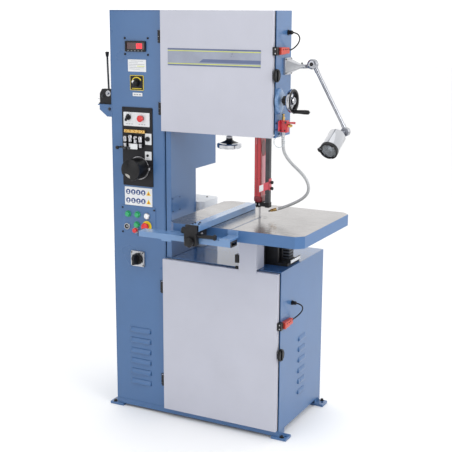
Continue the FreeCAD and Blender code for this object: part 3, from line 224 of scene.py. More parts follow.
def hose_material():
    """Wound metal hose: fine ridges along the curve's own length, with painted highlight on the crests and
    painted shade in the grooves.
    """
    material, tree, shader = new_material("wound_hose")
    place = tree.nodes.new("ShaderNodeTexCoord")
    wave = add_node(tree, "ShaderNodeTexWave", Scale=26.0, Distortion=0.0)
    wave.wave_type = "BANDS"
    wave.bands_direction = "X"
    tree.links.new(place.outputs["UV"], wave.inputs["Vector"])
    # The colour bands follow the ridges: the lighter crests are painted highlight and the darker grooves are
    # painted shade.
    colour = blend_colours(tree, wave.outputs["Fac"], (0.3, 0.31, 0.32), (0.58, 0.59, 0.6))
    tree.links.new(colour, shader.inputs["Base Color"])
    add_relief(tree, shader, wave.outputs["Fac"], 0.5, 0.0008)
    tree.links.new(spread(tree, object_noise(tree, 60), 0.3, 0.42), shader.inputs["Roughness"])
    shader.inputs["Metallic"].default_value = 0.5
    return material


def ground_table():
    """Ground iron on top with fine grinding lines and wear; blue enamel on the sides."""
    material, tree, shader = new_material("ground_iron_and_enamel")
    up = upward_mask(tree)
    lines = object_noise(tree, 260, 3, (0.03, 1, 1))
    patches = object_noise(tree, 5, 5)
    iron = blend_colours(tree, spread(tree, patches, 0, 1), (0.30, 0.285, 0.28), (0.42, 0.405, 0.40))
    blue = tuple(c * 1.05 for c in BLUE)
    tree.links.new(blend_colours(tree, up, blue, iron), shader.inputs["Base Color"])
    tree.links.new(up, shader.inputs["Metallic"])
    gloss = blend_colours(tree, up, (0.34, 0.34, 0.34), spread(tree, lines, 0.17, 0.3))
    tree.links.new(gloss, shader.inputs["Roughness"])
    add_relief(tree, shader, lines, 0.12, 0.0003)
    return material


def cabinet_paint():
    """The same blue enamel, with the flat top wiped to a high gloss."""
    material, tree, shader = new_material("blue_cabinet")
    up = upward_mask(tree, 0.95, 0.99)
    tree.links.new(mottled(tree, object_noise(tree, 6, 4), BLUE, 0.05), shader.inputs["Base Color"])
    gloss = blend_colours(tree, up, (0.36, 0.36, 0.36), (0.07, 0.07, 0.07))
    tree.links.new(gloss, shader.inputs["Roughness"])
    add_relief(tree, shader, object_noise(tree, 500, 2), 0.08, 0.0003)
    shader.inputs["Coat Weight"].default_value = 0.3
    shader.inputs["Coat Roughness"].default_value = 0.08
    return material


def wheel_material(name, axle_z):
    """Turned iron with dark tyre beyond the rim."""
    material, tree, shader = new_material(name)
    tyre = radius_mask(tree, P(WHEEL_X, BLADE_Y, axle_z), 0.2158, 0.2162)
    slow = object_noise(tree, 14, 4)
    iron = blend_colours(tree, spread(tree, slow, 0, 1), (0.2, 0.21, 0.22), (0.3, 0.31, 0.33))
    tree.links.new(blend_colours(tree, tyre, iron, (0.02, 0.02, 0.02)), shader.inputs["Base Color"])
    tree.links.new(spread(tree, tyre, 0.7, 0.0, 0, 1), shader.inputs["Metallic"])
    tree.links.new(spread(tree, tyre, 0.4, 0.7, 0, 1), shader.inputs["Roughness"])
    return material


def glowing(name, colour, strength):
    material, tree, shader = new_material(name)
    slow = object_noise(tree, 300, 2)
    low = tuple(c * 0.8 for c in colour)
    tree.links.new(blend_colours(tree, slow, low, colour), shader.inputs["Base Color"])
    shader.inputs["Emission Color"].default_value = (*colour, 1)
    shader.inputs["Emission Strength"].default_value = strength
    shader.inputs["Roughness"].default_value = 0.25
    return material


def clear(name, colour, rough=0.03):
    material, tree, shader = new_material(name)
    tree.links.new(spread(tree, object_noise(tree, 200), rough, rough * 2), shader.inputs["Roughness"])
    shader.inputs["Base Color"].default_value = (*colour, 1)
    shader.inputs["Transmission Weight"].default_value = 0.9
    shader.inputs["IOR"].default_value = 1.45
    return material


M_HOSE_WOUND = hose_material()
M_TABLE = ground_table()
M_CABINET = cabinet_paint()
M_DIGIT = glowing("display_red", (0.9, 0.03, 0.05), 0.9)
M_WINDOW = surface("display_window", (0.055, 0.008, 0.01), 0.12, vary=0.2, bump=0.0, coat=0.5, patch=100)
M_GLASS = clear("lamp_glass", (0.9, 0.93, 0.95))
M_TUBE = clear("clear_tube", (0.8, 0.85, 0.88), 0.1)


# ---------------------------------------------------------------- mesh building
TO_3D = {
    "x": lambda u, v, w: (w, u, v),
    "y": lambda u, v, w: (u, w, v),
    "z": lambda u, v, w: (u, v, w),
}


def rect(u0, v0, u1, v1, radius=0.0, steps=5):
    """Outline of a rectangle with rounded corners."""
    if radius <= 0:
        return [(u0, v0), (u1, v0), (u1, v1), (u0, v1)]
    points = []
    corners = ((u1 - radius, v0 + radius, -90), (u1 - radius, v1 - radius, 0),
               (u0 + radius, v1 - radius, 90), (u0 + radius, v0 + radius, 180))
    for cu, cv, start in corners:
        for i in range(steps + 1):
            a = math.radians(start + 90 * i / steps)
            points.append((cu + radius * math.cos(a), cv + radius * math.sin(a)))
    return points


def direction(along):
    """A unit vector from an axis name or a direction."""
    if isinstance(along, str):
        sign = -1 if along[0] == "-" else 1
        return Vector([sign * (letter == along[-1]) for letter in "xyz"])
    return Vector(along).normalized()


def axes_along(along):
    """The direction and two unit vectors square to it."""
    axis = direction(along)
    side = axis.orthogonal().normalized()
    return axis, side, axis.cross(side)


def disc(u, v, radius, count=32, lobes=0, depth=0.0):
    """Outline of a circle, or of a lobed knob."""
    points = []
    for i in range(count):
        a = 2 * math.pi * i / count
        r = radius + (depth * math.cos(lobes * a) if lobes else 0)
        points.append((u + r * math.cos(a), v + r * math.sin(a)))
    return points


def oval(u, v, half_width, half_height, count, step):
    """Outline of an ellipse through count points, a step apart in radians."""
    return [(u + half_width * math.cos(step * i), v + half_height * math.sin(step * i)) for i in range(count)]


class Piece:
    """One visible object, gathered from slabs, lofts, turned parts and pipes in machine millimetres."""

    def __init__(self, material):
        self.bm = bmesh.new()
        self.materials = []
        self.use(material)

    def use(self, material):
        """Make what follows of this material."""
        if material not in self.materials:
            self.materials.append(material)
        self.index = self.materials.index(material)
        return self

    def add(self, points, faces):
        made = [self.bm.verts.new(P(*p)) for p in points]
        for face in faces:
            new = self.bm.faces.new([made[i] for i in face])
            new.material_index = self.index
            new.smooth = True
        return self

    def skin(self, rings, cap=True, closed=False):
        """Faces between rings of points with equal counts."""
        count = len(rings[0])
        points = [p for ring in rings for p in ring]
        faces = []
        pairs = list(zip(range(len(rings)), range(1, len(rings))))
        if closed:
            pairs.append((len(rings) - 1, 0))
        for a, b in pairs:
            for i in range(count):
                j = (i + 1) % count
                faces.append((a * count + i, a * count + j, b * count + j, b * count + i))
        if cap and not closed:
            faces.append(tuple(range(count))[::-1])
            faces.append(tuple(range((len(rings) - 1) * count, len(rings) * count)))
        return self.add(points, faces)

    def slab(self, outline, axis, start, end):
        """An outline drawn out from start to end along an axis."""
        to_3d = TO_3D[axis]
        return self.skin([[to_3d(u, v, w) for u, v in outline] for w in (start, end)])

    def pad(self, axis, start, end, *corners):
        """A plate with rounded corners from start to end along an axis; corners as rect takes them."""
        return self.slab(rect(*corners), axis, start, end)

    def bar(self, x0, y0, z0, x1, y1, z1):
        """A square-edged block between two corners."""
        return self.pad("z", z0, z1, x0, y0, x1, y1)

    def loft(self, sections, axis):
        """sections: (place along the axis, outline)."""
        to_3d = TO_3D[axis]
        return self.skin([[to_3d(u, v, w) for u, v in outline] for w, outline in sections])

    def window(self, outer, inner, axis, start, end):
        """A flat frame between two outlines with equal counts."""
        to_3d = TO_3D[axis]
        rings = [[to_3d(u, v, w) for u, v in outline]
                 for outline, w in ((outer, start), (outer, end), (inner, end), (inner, start))]
        return self.skin(rings, closed=True)

    def turned(self, profile, at, along, count=40):
        """profile: (distance along, radius); spun about the line from at along a direction."""
        axis, side, other = axes_along(along)
        at = Vector(at)
        rings = []
        for distance, radius in profile:
            centre = at + axis * distance
            rings.append([tuple(centre + (side * math.cos(a) + other * math.sin(a)) * max(radius, 0.01))
                          for a in (2 * math.pi * i / count for i in range(count))])
        return self.skin(rings)

    def hoop(self, profile, at, along, count=48):
        """Like turned, but the profile is a closed loop that doesn't reach the axis."""
        axis, side, other = axes_along(along)
        at = Vector(at)
        rings = []
        for i in range(count):
            a = 2 * math.pi * i / count
            out = side * math.cos(a) + other * math.sin(a)
            rings.append([tuple(at + axis * d + out * r) for d, r in profile])
        return self.skin(rings, closed=True)

    def pipe(self, path, radius, count=12):
        """A round rod along points."""
        path = [Vector(p) for p in path]
        rings = []
        side = None
        for i, p in enumerate(path):
            ahead = (path[min(i + 1, len(path) - 1)] - path[max(i - 1, 0)]).normalized()
            side = ahead.orthogonal() if side is None else side - ahead * side.dot(ahead)
            side.normalize()
            other = ahead.cross(side)
            rings.append([tuple(p + (side * math.cos(a) + other * math.sin(a)) * radius)
                          for a in (2 * math.pi * k / count for k in range(count))])
        return self.skin(rings)

    def hex_bolt(self, at, along, across=10, high=5):
        """Hexagon head on a washer."""
        axis = direction(along)
        self.turned([(0, across * 0.85), (1.2, across * 0.85)], at, axis, 20)
        start = Vector(at) + axis * 1.2
        self.turned([(0, across / 1.73), (high * 0.8, across / 1.73), (high, across / 2.1)], start, axis, 6)
        return self

    def socket_screw(self, at, along, radius=4.0):
        """Low round head with a dark recess."""
        axis = direction(along)
        r = radius
        profile = [(0, r), (r * 0.5, r), (r * 0.7, r * 0.8), (r * 0.7, r * 0.5), (r * 0.3, r * 0.45)]
        return self.turned(profile, at, axis, 16)

    def make(self, name, body, bevel=0.0, replaces=(), slot=None, smooth=35):
        """Close the mesh into an object that rides on a body."""
        bmesh.ops.recalc_face_normals(self.bm, faces=self.bm.faces)
        mesh = bpy.data.meshes.new(name)
        self.bm.to_mesh(mesh)
        self.bm.free()
        for material in self.materials:
            mesh.materials.append(material)
        mesh.set_sharp_from_angle(angle=math.radians(smooth))
        piece = bpy.data.objects.new(name, mesh)
        scene.collection.objects.link(piece)
        if bevel:
            soften(piece, bevel)
        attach(piece, body)
        if replaces:
            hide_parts(*replaces)
        return piece


def soften(piece, width_mm, segments=2):
    """Round the sharp edges by a width in millimetres."""
    edge = piece.modifiers.new("soft_edges", "BEVEL")
    edge.width = width_mm / 1000
    edge.segments = segments
    edge.limit_method = "ANGLE"
    edge.angle_limit = math.radians(35)
    edge.harden_normals = True


def finish_node(name, material, bevel=1.0, segments=2):
    """Give a CAD node its finish and softly rounded edges."""
    node = NODES[name]
    mesh = node.data
    mesh.materials.clear()
    mesh.materials.append(material)
    for polygon in mesh.polygons:
        polygon.material_index = 0
        polygon.use_smooth = True
    for attribute in ("custom_normal", "sharp_edge", "sharp_face"):
        if attribute in mesh.attributes:
            mesh.attributes.remove(mesh.attributes[attribute])
    weld = node.modifiers.new("weld", "WELD")
    weld.merge_threshold = 0.00001
    flat = node.modifiers.new("flat", "DECIMATE")
    flat.decimate_type = "DISSOLVE"
    flat.angle_limit = math.radians(1)
    soften(node, bevel, segments)


# ---------------------------------------------------------------- hose and cables
def cord_curve(name, route, radius_mm, material, node):
    """A smooth cord through the part's own route points."""
    data = bpy.data.curves.new(name, "CURVE")
    data.dimensions = "3D"
    spline = data.splines.new("NURBS")
    spline.points.add(len(route) - 1)
    for point, at in zip(spline.points, route):
        point.co = (*P(*at), 1)
    spline.order_u = 3
    spline.use_endpoint_u = True
    spline.resolution_u = 12
    data.bevel_depth = radius_mm / 1000
    data.bevel_resolution = 6
    data.use_fill_caps = True
    data.materials.append(material)
    piece = bpy.data.objects.new(name, data)
    scene.collection.objects.link(piece)
    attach(piece, "frame")
    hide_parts(node)
    return piece


HOSE_ROUTE = [
    (859, 42, 1384), (859, 42, 1348), (866, 45, 1312), (894, 51, 1275), (929, 56, 1245),
    (960, 60, 1214), (976, 64, 1178), (970, 68, 1143), (938, 71, 1113), (892, 74, 1088),
    (848, 76, 1068), (812, 77, 1056),
]
UPPER_CABLE_ROUTE = [
    (852, 98, 1753), (852, 122, 1753), (863, 140, 1763), (880, 144, 1783), (890, 136, 1805),
    (884, 120, 1825), (865, 117, 1828),
]
LOWER_CABLE_ROUTE = [
    (892, 98, 547), (892, 123, 547), (903, 141, 557), (920, 146, 577), (930, 138, 600),
    (924, 124, 619), (905, 121, 622),
]


def nozzle():
    tip, before = Vector(HOSE_ROUTE[-1]), Vector(HOSE_ROUTE[-2])
    along = (tip - before).normalized()
    piece = Piece(M_BRASS)
    piece.turned([(-8, 6.9), (-8, 7.4), (9, 7.4), (10, 6.6)], tip, along, 24)
    piece.turned([(10, 5.6), (14, 6.9), (22, 6.9), (23, 5.2), (27, 4.8)], tip, along, 6)
    piece.use(M_BLACK).turned([(27, 3.6), (35, 3.0), (36, 2.2), (33, 1.6)], tip, along, 20)
    piece.use(M_WHITEBTN).turned([(-16, 6.8), (-15, 7.2), (-9, 7.2), (-8, 6.8)], tip, along, 24)
    return piece.make("nozzle_fitting", "frame", bevel=0.3, replaces=["coolant_nozzle"], slot="brass")


NOZZLE = nozzle()
HOSE = cord_curve("hose", HOSE_ROUTE, 6.5, M_HOSE_WOUND, "coolant_hose")
for cable_name, cable_route in (("upper_interlock_cable", UPPER_CABLE_ROUTE),
                                ("lower_interlock_cable", LOWER_CABLE_ROUTE)):
    CABLE = cord_curve(cable_name + "_lead", cable_route, 3.0, M_RUBBER, cable_name)


# ---------------------------------------------------------------- CAD nodes that keep their shape
KEPT = {
    "base_cabinet": (M_CABINET, 1.6), "foot_plates": (M_BLUE, 1.2), "column_frame": (M_BLUE, 2.2),
    "column_front_cover": (M_BLUE, 0.8), "upper_housing": (M_BLUE, 2.2), "rear_cover": (M_WHITE, 9),
    "door_hinges": (M_BLACK, 0.8), "upper_door": (M_PALE, 3.0), "lower_door": (M_PALE, 3.0),
    "wheel_carriage": (M_CAST, 2.0), "geared_motor": (M_MOTOR, 3.0), "guide_post": (M_DARKSTEEL, 0.8),
    "post_gearbox": (M_BLUE_BRIGHT, 3.0), "table_top": (M_TABLE, 1.5), "table_trunnion": (M_CAST, 1.5),
    "trunnion_base": (M_CAST, 1.5), "lower_blade_guard": (M_PALE, 1.0), "lower_guide_block": (M_CAST, 1.0),
    "fence_rail": (M_BLUE_BRIGHT, 2.0), "fence_bar": (M_BLUE_BRIGHT, 2.5),
    "grinding_wheel": (M_ABRASIVE, 0.8),
}
for kept_name, (kept_material, kept_bevel) in KEPT.items():
    finish_node(kept_name, kept_material, kept_bevel, 3 if kept_bevel > 2 else 2)
for wheel_name, wheel_z in WHEEL_AXLES.items():
    finish_node(wheel_name, wheel_material(wheel_name + "_iron", wheel_z), 1.2)


# ---------------------------------------------------------------- blade
def toothed_blade():
    """Endless band with raked teeth on its front edge."""
    radius, centre_x = 221.9, WHEEL_X
    top, bottom = WHEEL_AXLES["upper_wheel"], WHEEL_AXLES["lower_wheel"]
    straight, around = top - bottom, math.pi * radius
    total = 2 * straight + 2 * around
    tooth_pitch = 4.2
    count = int(total / tooth_pitch)

    def spot(s):
        """(x, z, outward x, outward z) at distance s round the loop."""
        s %= total
        if s < straight:
            return centre_x + radius, top - s, 1, 0
        s -= straight
        if s < around:
            a = -s / radius
            return centre_x + radius * math.cos(a), bottom + radius * math.sin(a), math.cos(a), math.sin(a)
        s -= around
        if s < straight:
            return centre_x - radius, bottom + s, -1, 0
        s -= straight
        a = math.pi - s / radius
        return centre_x + radius * math.cos(a), top + radius * math.sin(a), math.cos(a), math.sin(a)

    piece = Piece(M_STEEL)
    points = []
    faces = []
    for i in range(2 * count):
        s = total * i / (2 * count)
        x, z, nx, nz = spot(s)
        edge = 65.2 if i % 2 else 67.4
        for y, out in ((85, 0.45), (85, -0.45), (edge, -0.45), (edge, 0.45)):
            points.append((x + nx * out, y, z + nz * out))
    for i in range(2 * count):
        a, b = 4 * i, 4 * ((i + 1) % (2 * count))
        for k in range(4):
            m = (k + 1) % 4
            faces.append((a + k, a + m, b + m, b + k))
    piece.add(points, faces)
    piece.make("toothed_band", "frame", replaces=["saw_blade"], slot="bright_steel", smooth=60)


toothed_blade()


# ---------------------------------------------------------------- louvres
def louvre(piece, low, high, base, across, axis, depth=9.0):
    """A pressed hood, open along its lower edge: low and high run along it, across is its height."""
    count, rows = 24, 8
    points = []
    for j in range(rows):
        v = j / (rows - 1)
        for i in range(count + 1):
            u = i / count
            end = min(1.0, min(u, 1 - u) / 0.1)
            end = math.sqrt(max(0.0, 1 - (1 - end) ** 2))
            bulge = depth * end * min(1.0, (1 - v) * 1.6) ** 0.7
            up = base + across * v
            along = low + (high - low) * u
            points.append((along, -bulge, up) if axis == "y" else (881 + bulge, along, up))
    wide = count + 1
    faces = [(a, a + 1, a + wide + 1, a + wide)
             for j in range(rows - 1) for a in range(j * wide, j * wide + count)]
    piece.add(points, faces)


def louvres():
    front = Piece(M_BLUE)
    side = Piece(M_BLUE)
    for i in range(6):
        louvre(front, 84, 201, 397 - 53 * i, 25, "y")
        louvre(side, 204, 288, 411 - 53 * i, 22, "x", 6.5)
    for piece, name in ((front, "front_louvres"), (side, "side_louvres")):
        made = piece.make(name, "frame", slot="blue_paint")
        thick = made.modifiers.new("thick", "SOLIDIFY")
        thick.thickness = 0.0012
        thick.offset = -1


# ---------------------------------------------------------------- column face
def display_screws():
    piece = Piece(M_BLACK)
    for x, z in ((82, 1795), (205, 1796), (82, 1723), (205, 1722)):
        piece.socket_screw((x, 0, z), "-y", 5)
    piece.make("display_screws", "frame", slot="black_paint")


def display():
    piece = Piece(M_PLASTIC)
    piece.window(rect(86, 1735, 195, 1783, 3), rect(93, 1745, 188, 1776, 2), "y", -0.5, -8)
    piece.pad("y", -0.5, -3.5, 90, 1740, 191, 1780)
    piece.use(M_WINDOW).pad("y", -3.5, -4.5, 93.2, 1745.2, 187.8, 1775.8, 1.8)
    piece.use(M_DIGIT).pad("y", -4.5, -5.0, 145, 1749, 176, 1772, 2)
    piece.use(M_WINDOW)
    for x in (151, 163):
        piece.window(rect(x, 1752, x + 7, 1769), rect(x + 1.8, 1754, x + 5.2, 1767), "y", -5.0, -5.4)
    piece.use(M_GREYINK)
    for i in range(5):
        piece.pad("y", -8, -8.3, 100 + i * 18, 1738, 108 + i * 18, 1740.5)
    piece.make("display", "frame", bevel=0.6, slot="black_plastic")


def labels():
    piece = Piece(M_PLATE)
    piece.pad("y", -0.5, -1.5, 97, 1645, 194, 1700, 2)
    piece.pad("y", -0.5, -1.5, 120, 1534, 172, 1550, 1.5)
    piece.use(M_GREYINK)
    for z, x0, x1 in ((1692, 112, 178), (1684, 104, 150), (1677, 104, 186),
                      (1670, 104, 140), (1663, 104, 184), (1656, 104, 160)):
        piece.pad("y", -1.5, -1.7, x0, z, x1, z + 1.6)
    for x in (126, 140, 154):
        piece.pad("y", -1.5, -1.7, x, 1539, x + 10, 1544)
    piece.use(M_LIME).pad("y", -1.5, -1.75, 146, 1669, 186, 1672)
    piece.make("column_labels", "frame", slot="plate_white")


def speed_dial():
    plate = Piece(M_YELLOW)
    plate.pad("y", -0.5, -3.0, 108, 1561, 180, 1629, 2)
    plate.use(M_PANEL).pad("y", -3.0, -3.6, 110.2, 1563.2, 177.8, 1626.8, 1)
    plate.use(M_YELLOW)
    sweep = [math.radians(170 - 10 * i) for i in range(15)]
    inner = [(144 + (24 - 0.06 * i) * math.cos(a), 1594 + (24 - 0.06 * i) * math.sin(a))
             for i, a in enumerate(sweep)]
    outer = [(144 + 28 * math.cos(a), 1594 + 28 * math.sin(a)) for a in reversed(sweep)]
    plate.slab(inner + outer, "y", -3.6, -3.9)
    plate.pad("y", -3.6, -3.9, 118, 1568, 170, 1570.5)
    plate.make("dial_plate", "frame", bevel=0.3, slot="plate_white")
    knob = Piece(M_PLASTIC)
    knob.turned([(0, 5), (3.6, 5), (3.6, 15), (7, 15), (17, 12), (20, 11), (21, 9)],
                (144, -0.5, 1594), "-y", 28)
    knob.pad("y", -19, -23.5, 141.6, 1582, 146.4, 1606, 2)
    knob.use(M_WHITEBTN).slab(disc(131, 1600, 6.5, 20), "y", -8, -15)
    knob.make("speed_dial_knob", "speed_knob", bevel=0.6, replaces=["speed_knob"], slot="black_plastic")


def signs():
    """Plate with two rows of blank blue discs and warning triangles."""
    piece = Piece(M_PLATE)
    piece.pad("y", -0.5, -1.5, 67, 1022, 218, 1109, 2)
    for z in (1086, 1045):
        for x in (86, 114, 142, 169):
            piece.use(M_BLUEINK).slab(disc(x, z, 12.5, 28), "y", -1.5, -1.8)
            piece.use(M_WHITEBTN).slab(disc(x, z + 2, 4.2, 14), "y", -1.8, -2.0)
            piece.pad("y", -1.8, -2.0, x - 5.5, z - 8, x + 5.5, z - 4, 1.8)
        piece.use(M_YELLOW).slab([(185, z - 11), (211, z - 11), (198, z + 12)], "y", -1.5, -1.8)
        piece.use(M_ORANGE).slab([(193, z - 8), (203, z - 8), (198, z + 4)], "y", -1.8, -2.0)
    piece.make("sign_plate", "frame", slot="plate_white")


BUTTONS = {
    "green_button_left": (85, 979, 8, M_GREEN), "green_button_right": (137, 980, 8, M_GREEN),
    "start_button": (133, 931, 8, M_GREEN), "stop_button": (127, 904, 12, M_REDBTN),
}


def button_panel():
    plate = Piece(M_BLUE)
    plate.pad("y", -0.5, -2.5, 48, 882, 236, 1020, 3)
    for x, z, _, material in BUTTONS.values():
        plate.use(material if material is M_GREEN else M_STEEL)
        plate.hoop([(2.4, 11.9), (2.4, 15.5), (6, 15.5), (8, 14), (8, 11.9)], (x, -0.5, z), "-y", 32)
    for x, z in ((189, 977), (79, 918)):
        plate.use(M_STEEL)
        plate.hoop([(2, 11.5), (2, 16), (6, 16), (9, 14), (9, 11.5)], (x, -0.5, z), "-y", 32)
    plate.use(M_WHITEBTN)
    plate.turned([(2, 11.8), (10, 11.8), (12, 9.5), (13, 5), (13.2, 0)], (189, -0.5, 977), "-y", 28)
    plate.use(M_PLASTIC).turned([(2, 11.6), (7, 11.6), (7, 8), (4, 7)], (79, -0.5, 918), "-y", 28)
    plate.use(M_GREYINK).slab(disc(79, 918, 5, 20), "y", -4, -8)
    plate.use(M_YELLOW)
    plate.hoop([(2, 12), (2, 25), (4, 25), (5.5, 23.5), (5.5, 12)], (188, -0.5, 929), "-y", 36)
    plate.use(M_BLACK)
    for x, z in ((54, 1008), (229, 1008), (53, 890), (229, 890)):
        plate.socket_screw((x, -2.5, z), "-y", 4.5)
    plate.make("button_panel", "frame", bevel=0.4, replaces=["control_plates"], slot="blue_paint")
    for name, (x, z, length, material) in BUTTONS.items():
        cap = Piece(material)
        cap.turned([(0, 10), (0, 11.3), (length - 1.5, 11.3), (length, 10.2),
                    (length + 0.3, 6), (length + 0.4, 0)], (x, -8.5, z), "-y", 28)
        cap.make(name + "_cap", name, replaces=[name], slot=material.name.replace("_button", "_plastic"))
    stop = Piece(M_REDBTN)
    stop.turned([(0, 10), (0, 11.3), (10.5, 11.3), (11, 13), (12, 18.6), (15, 19),
                 (18, 17.5), (20, 12), (20.4, 0)], (188, -8.5, 929), "-y", 36)
    stop.make("mushroom_stop", "emergency_stop", replaces=["emergency_stop"], slot="red_plastic")


def main_switch():
    plate = Piece(M_CASTALU)
    plate.window(rect(99, 729, 173, 803, 4), disc(136, 766, 28, 24), "y", -0.5, -9)
    plate.pad("y", -0.5, -4, 101, 731, 171, 801)
    plate.use(M_PLASTIC)
    for x in (106, 166):
        for z in (736, 796):
            plate.socket_screw((x, -9, z), "-y", 2.6)
    plate.make("switch_plate", "frame", slot="plate_white")
    knob = Piece(M_PLASTIC)
    knob.turned([(0, 8), (9, 8), (9, 27), (20, 27), (22.5, 25), (22.5, 20)], (136, -0.5, 766), "-y", 36)
    knob.loft([(-22, rect(125, 741, 147, 791, 9)), (-36, rect(129, 743, 143, 789, 6)),
               (-49, rect(130, 744, 142, 788, 5))], "y")
    knob.make("rotary_switch", "main_switch_knob", bevel=0.8, replaces=["main_switch_knob"],
              slot="black_plastic")


# ---------------------------------------------------------------- welder and grinder
def welder():
    panel = Piece(M_PANEL)
    panel.pad("y", -0.5, -3.5, 61, 1117, 225, 1483, 3)
    for x, z in ((69, 1475), (217, 1475), (69, 1125), (217, 1125)):
        panel.use(M_BLACK).socket_screw((x, -3.5, z), "-y", 3.5)
    panel.use(M_PLATE)
    panel.pad("y", -3.5, -5.5, 70, 1396, 211, 1460, 3)
    panel.pad("y", -3.5, -5.5, 186, 1314, 220, 1366, 2)
    panel.pad("y", -3.5, -5.5, 184, 1243, 219, 1283, 2)
    panel.pad("y", -30.5, -32, 122, 1293, 160, 1318, 2)
    panel.use(M_GREYINK)
    for x in (84, 98, 112, 152, 166, 180):
        panel.pad("y", -5.5, -5.7, x, 1404, x + 9, 1407)
    panel.pad("y", -5.5, -5.7, 190, 1247, 213, 1250)
    panel.use(M_BLACK).turned([(0, 11), (6, 11), (9, 8), (14, 7.5), (15, 6)], (201, -5.5, 1341), "-y", 20)
    panel.turned([(0, 6), (4, 6), (5, 4)], (200, -5.5, 1264), "-y", 16)
    panel.hoop([(2, 7.6), (2, 12), (6, 11), (6, 7.6)], (169, -3.5, 1434), "-y", 28)
    panel.use(M_BRASS)
    panel.pad("y", -3.5, -13.5, 77, 1366, 189, 1380, 1)
    for x in (84, 106, 128, 150, 172):
        panel.hex_bolt((x, -13.5, 1373), "-y", 8, 4)
    panel.use(M_STEEL)
    for x, z0, z1 in ((85, 1300, 1350), (113, 1300, 1356), (141, 1318, 1352), (167, 1300, 1352)):
        panel.turned([(0, 8.6), (2, 9), (z1 - z0 - 3, 9), (z1 - z0, 7)], (x, -17, z0), "z", 22)
        panel.use(M_PLASTIC).turned([(0, 9.4), (8, 9.4)], (x, -17, z0 + 18), "z", 22)
        panel.use(M_STEEL).hex_bolt((x, -26, z1 - 9), "-y", 7, 3)
    panel.use(M_DARKSTEEL)
    for left, right, high in ((76, 94, 1300), (104, 122, 1300), (124, 156, 1297)):
        panel.pad("y", -3.5, -30, left, 1290, right, high, 1)
    panel.turned([(0, 6), (71, 6)], (151, -3, 1203), "-y", 16)
    panel.make("weld_panel", "frame", bevel=0.4, replaces=["welder_panel"], slot="black_paint")

    selector = Piece(M_PLASTIC)
    selector.turned([(0, 4), (5, 4), (5, 13), (9, 13), (14, 11), (15, 9)], (99, -3, 1436), "-y", 24)
    selector.slab([(p[0] + 99, p[1] + 1436) for p in
                   [(-9, -15), (-3, -17), (11, 13), (9, 17), (3, 17), (-11, -11)]], "y", -17.5, -27)
    selector.make("selector", "weld_selector_knob", bevel=0.7, replaces=["weld_selector_knob"],
                  slot="black_plastic")
    button = Piece(M_REDBTN)
    button.turned([(6.2, 7), (10, 7), (10.5, 15), (19, 15.5), (22, 13), (22.6, 0)],
                  (169, -4.5, 1434), "-y", 32)
    button.make("weld_push", "weld_button", replaces=["weld_button"], slot="red_plastic")
    lever = Piece(M_DARKSTEEL)
    lever.turned([(0, 4.9), (70, 4.9)], (58, -20, 1298), "x", 16)
    lever.pipe([(62, -20, 1298), (61, -34, 1298), (60, -48, 1298)], 3.6)
    lever.use(M_PLASTIC)
    lever.turned([(0, 4), (2, 7), (7, 8.4), (12, 8), (15, 5), (16, 2)], (53, -48, 1298), "x", 20)
    lever.make("clamp_lever", "weld_clamp_lever", replaces=["weld_clamp_lever"], slot="black_paint")


def grinder():
    """Deep black drum with a rounded rim, cut away at its lower left to show the wheel."""
    cx, cz = 151, 1203
    guard = Piece(M_PLASTIC)
    first, last, count = -96, 212, 44
    turns = [math.radians(first + (last - first) * i / count) for i in range(count + 1)]
    rings = []
    for radius, y in ((50, -4), (50, -78), (46, -78), (46, -4)):
        rings.append([(cx + radius * math.cos(a), y, cz + radius * math.sin(a)) for a in turns])
    guard.skin([list(ring) for ring in zip(*rings)])
    face = [(cx + 49.8 * math.cos(a), cz + 49.8 * math.sin(a)) for a in turns[1:-1]]
    face += [(cx - 20, cz - 18), (cx - 4, cz - 26)]
    guard.loft([(-76, face), (-80.4, face),
                (-82, [(cx + (u - cx) * 0.95, cz + (v - cz) * 0.95) for u, v in face])], "y")
    guard.use(M_STEEL).turned([(0, 7), (3, 7), (4, 5)], (209, -11, 1203), "-y", 18)
    guard.use(M_DARKSTEEL).pad("y", -3.5, -11.5, 196, 1191, 220, 1215, 3)
    guard.use(M_STEEL).hoop([(5, 50.5), (5, 54), (7, 54), (7, 50.5)], (cx, 0, cz), "-y", 44)
    guard.make("grinder_drum", "frame", bevel=0.7, replaces=["grinder_guard"], slot="dark_steel")


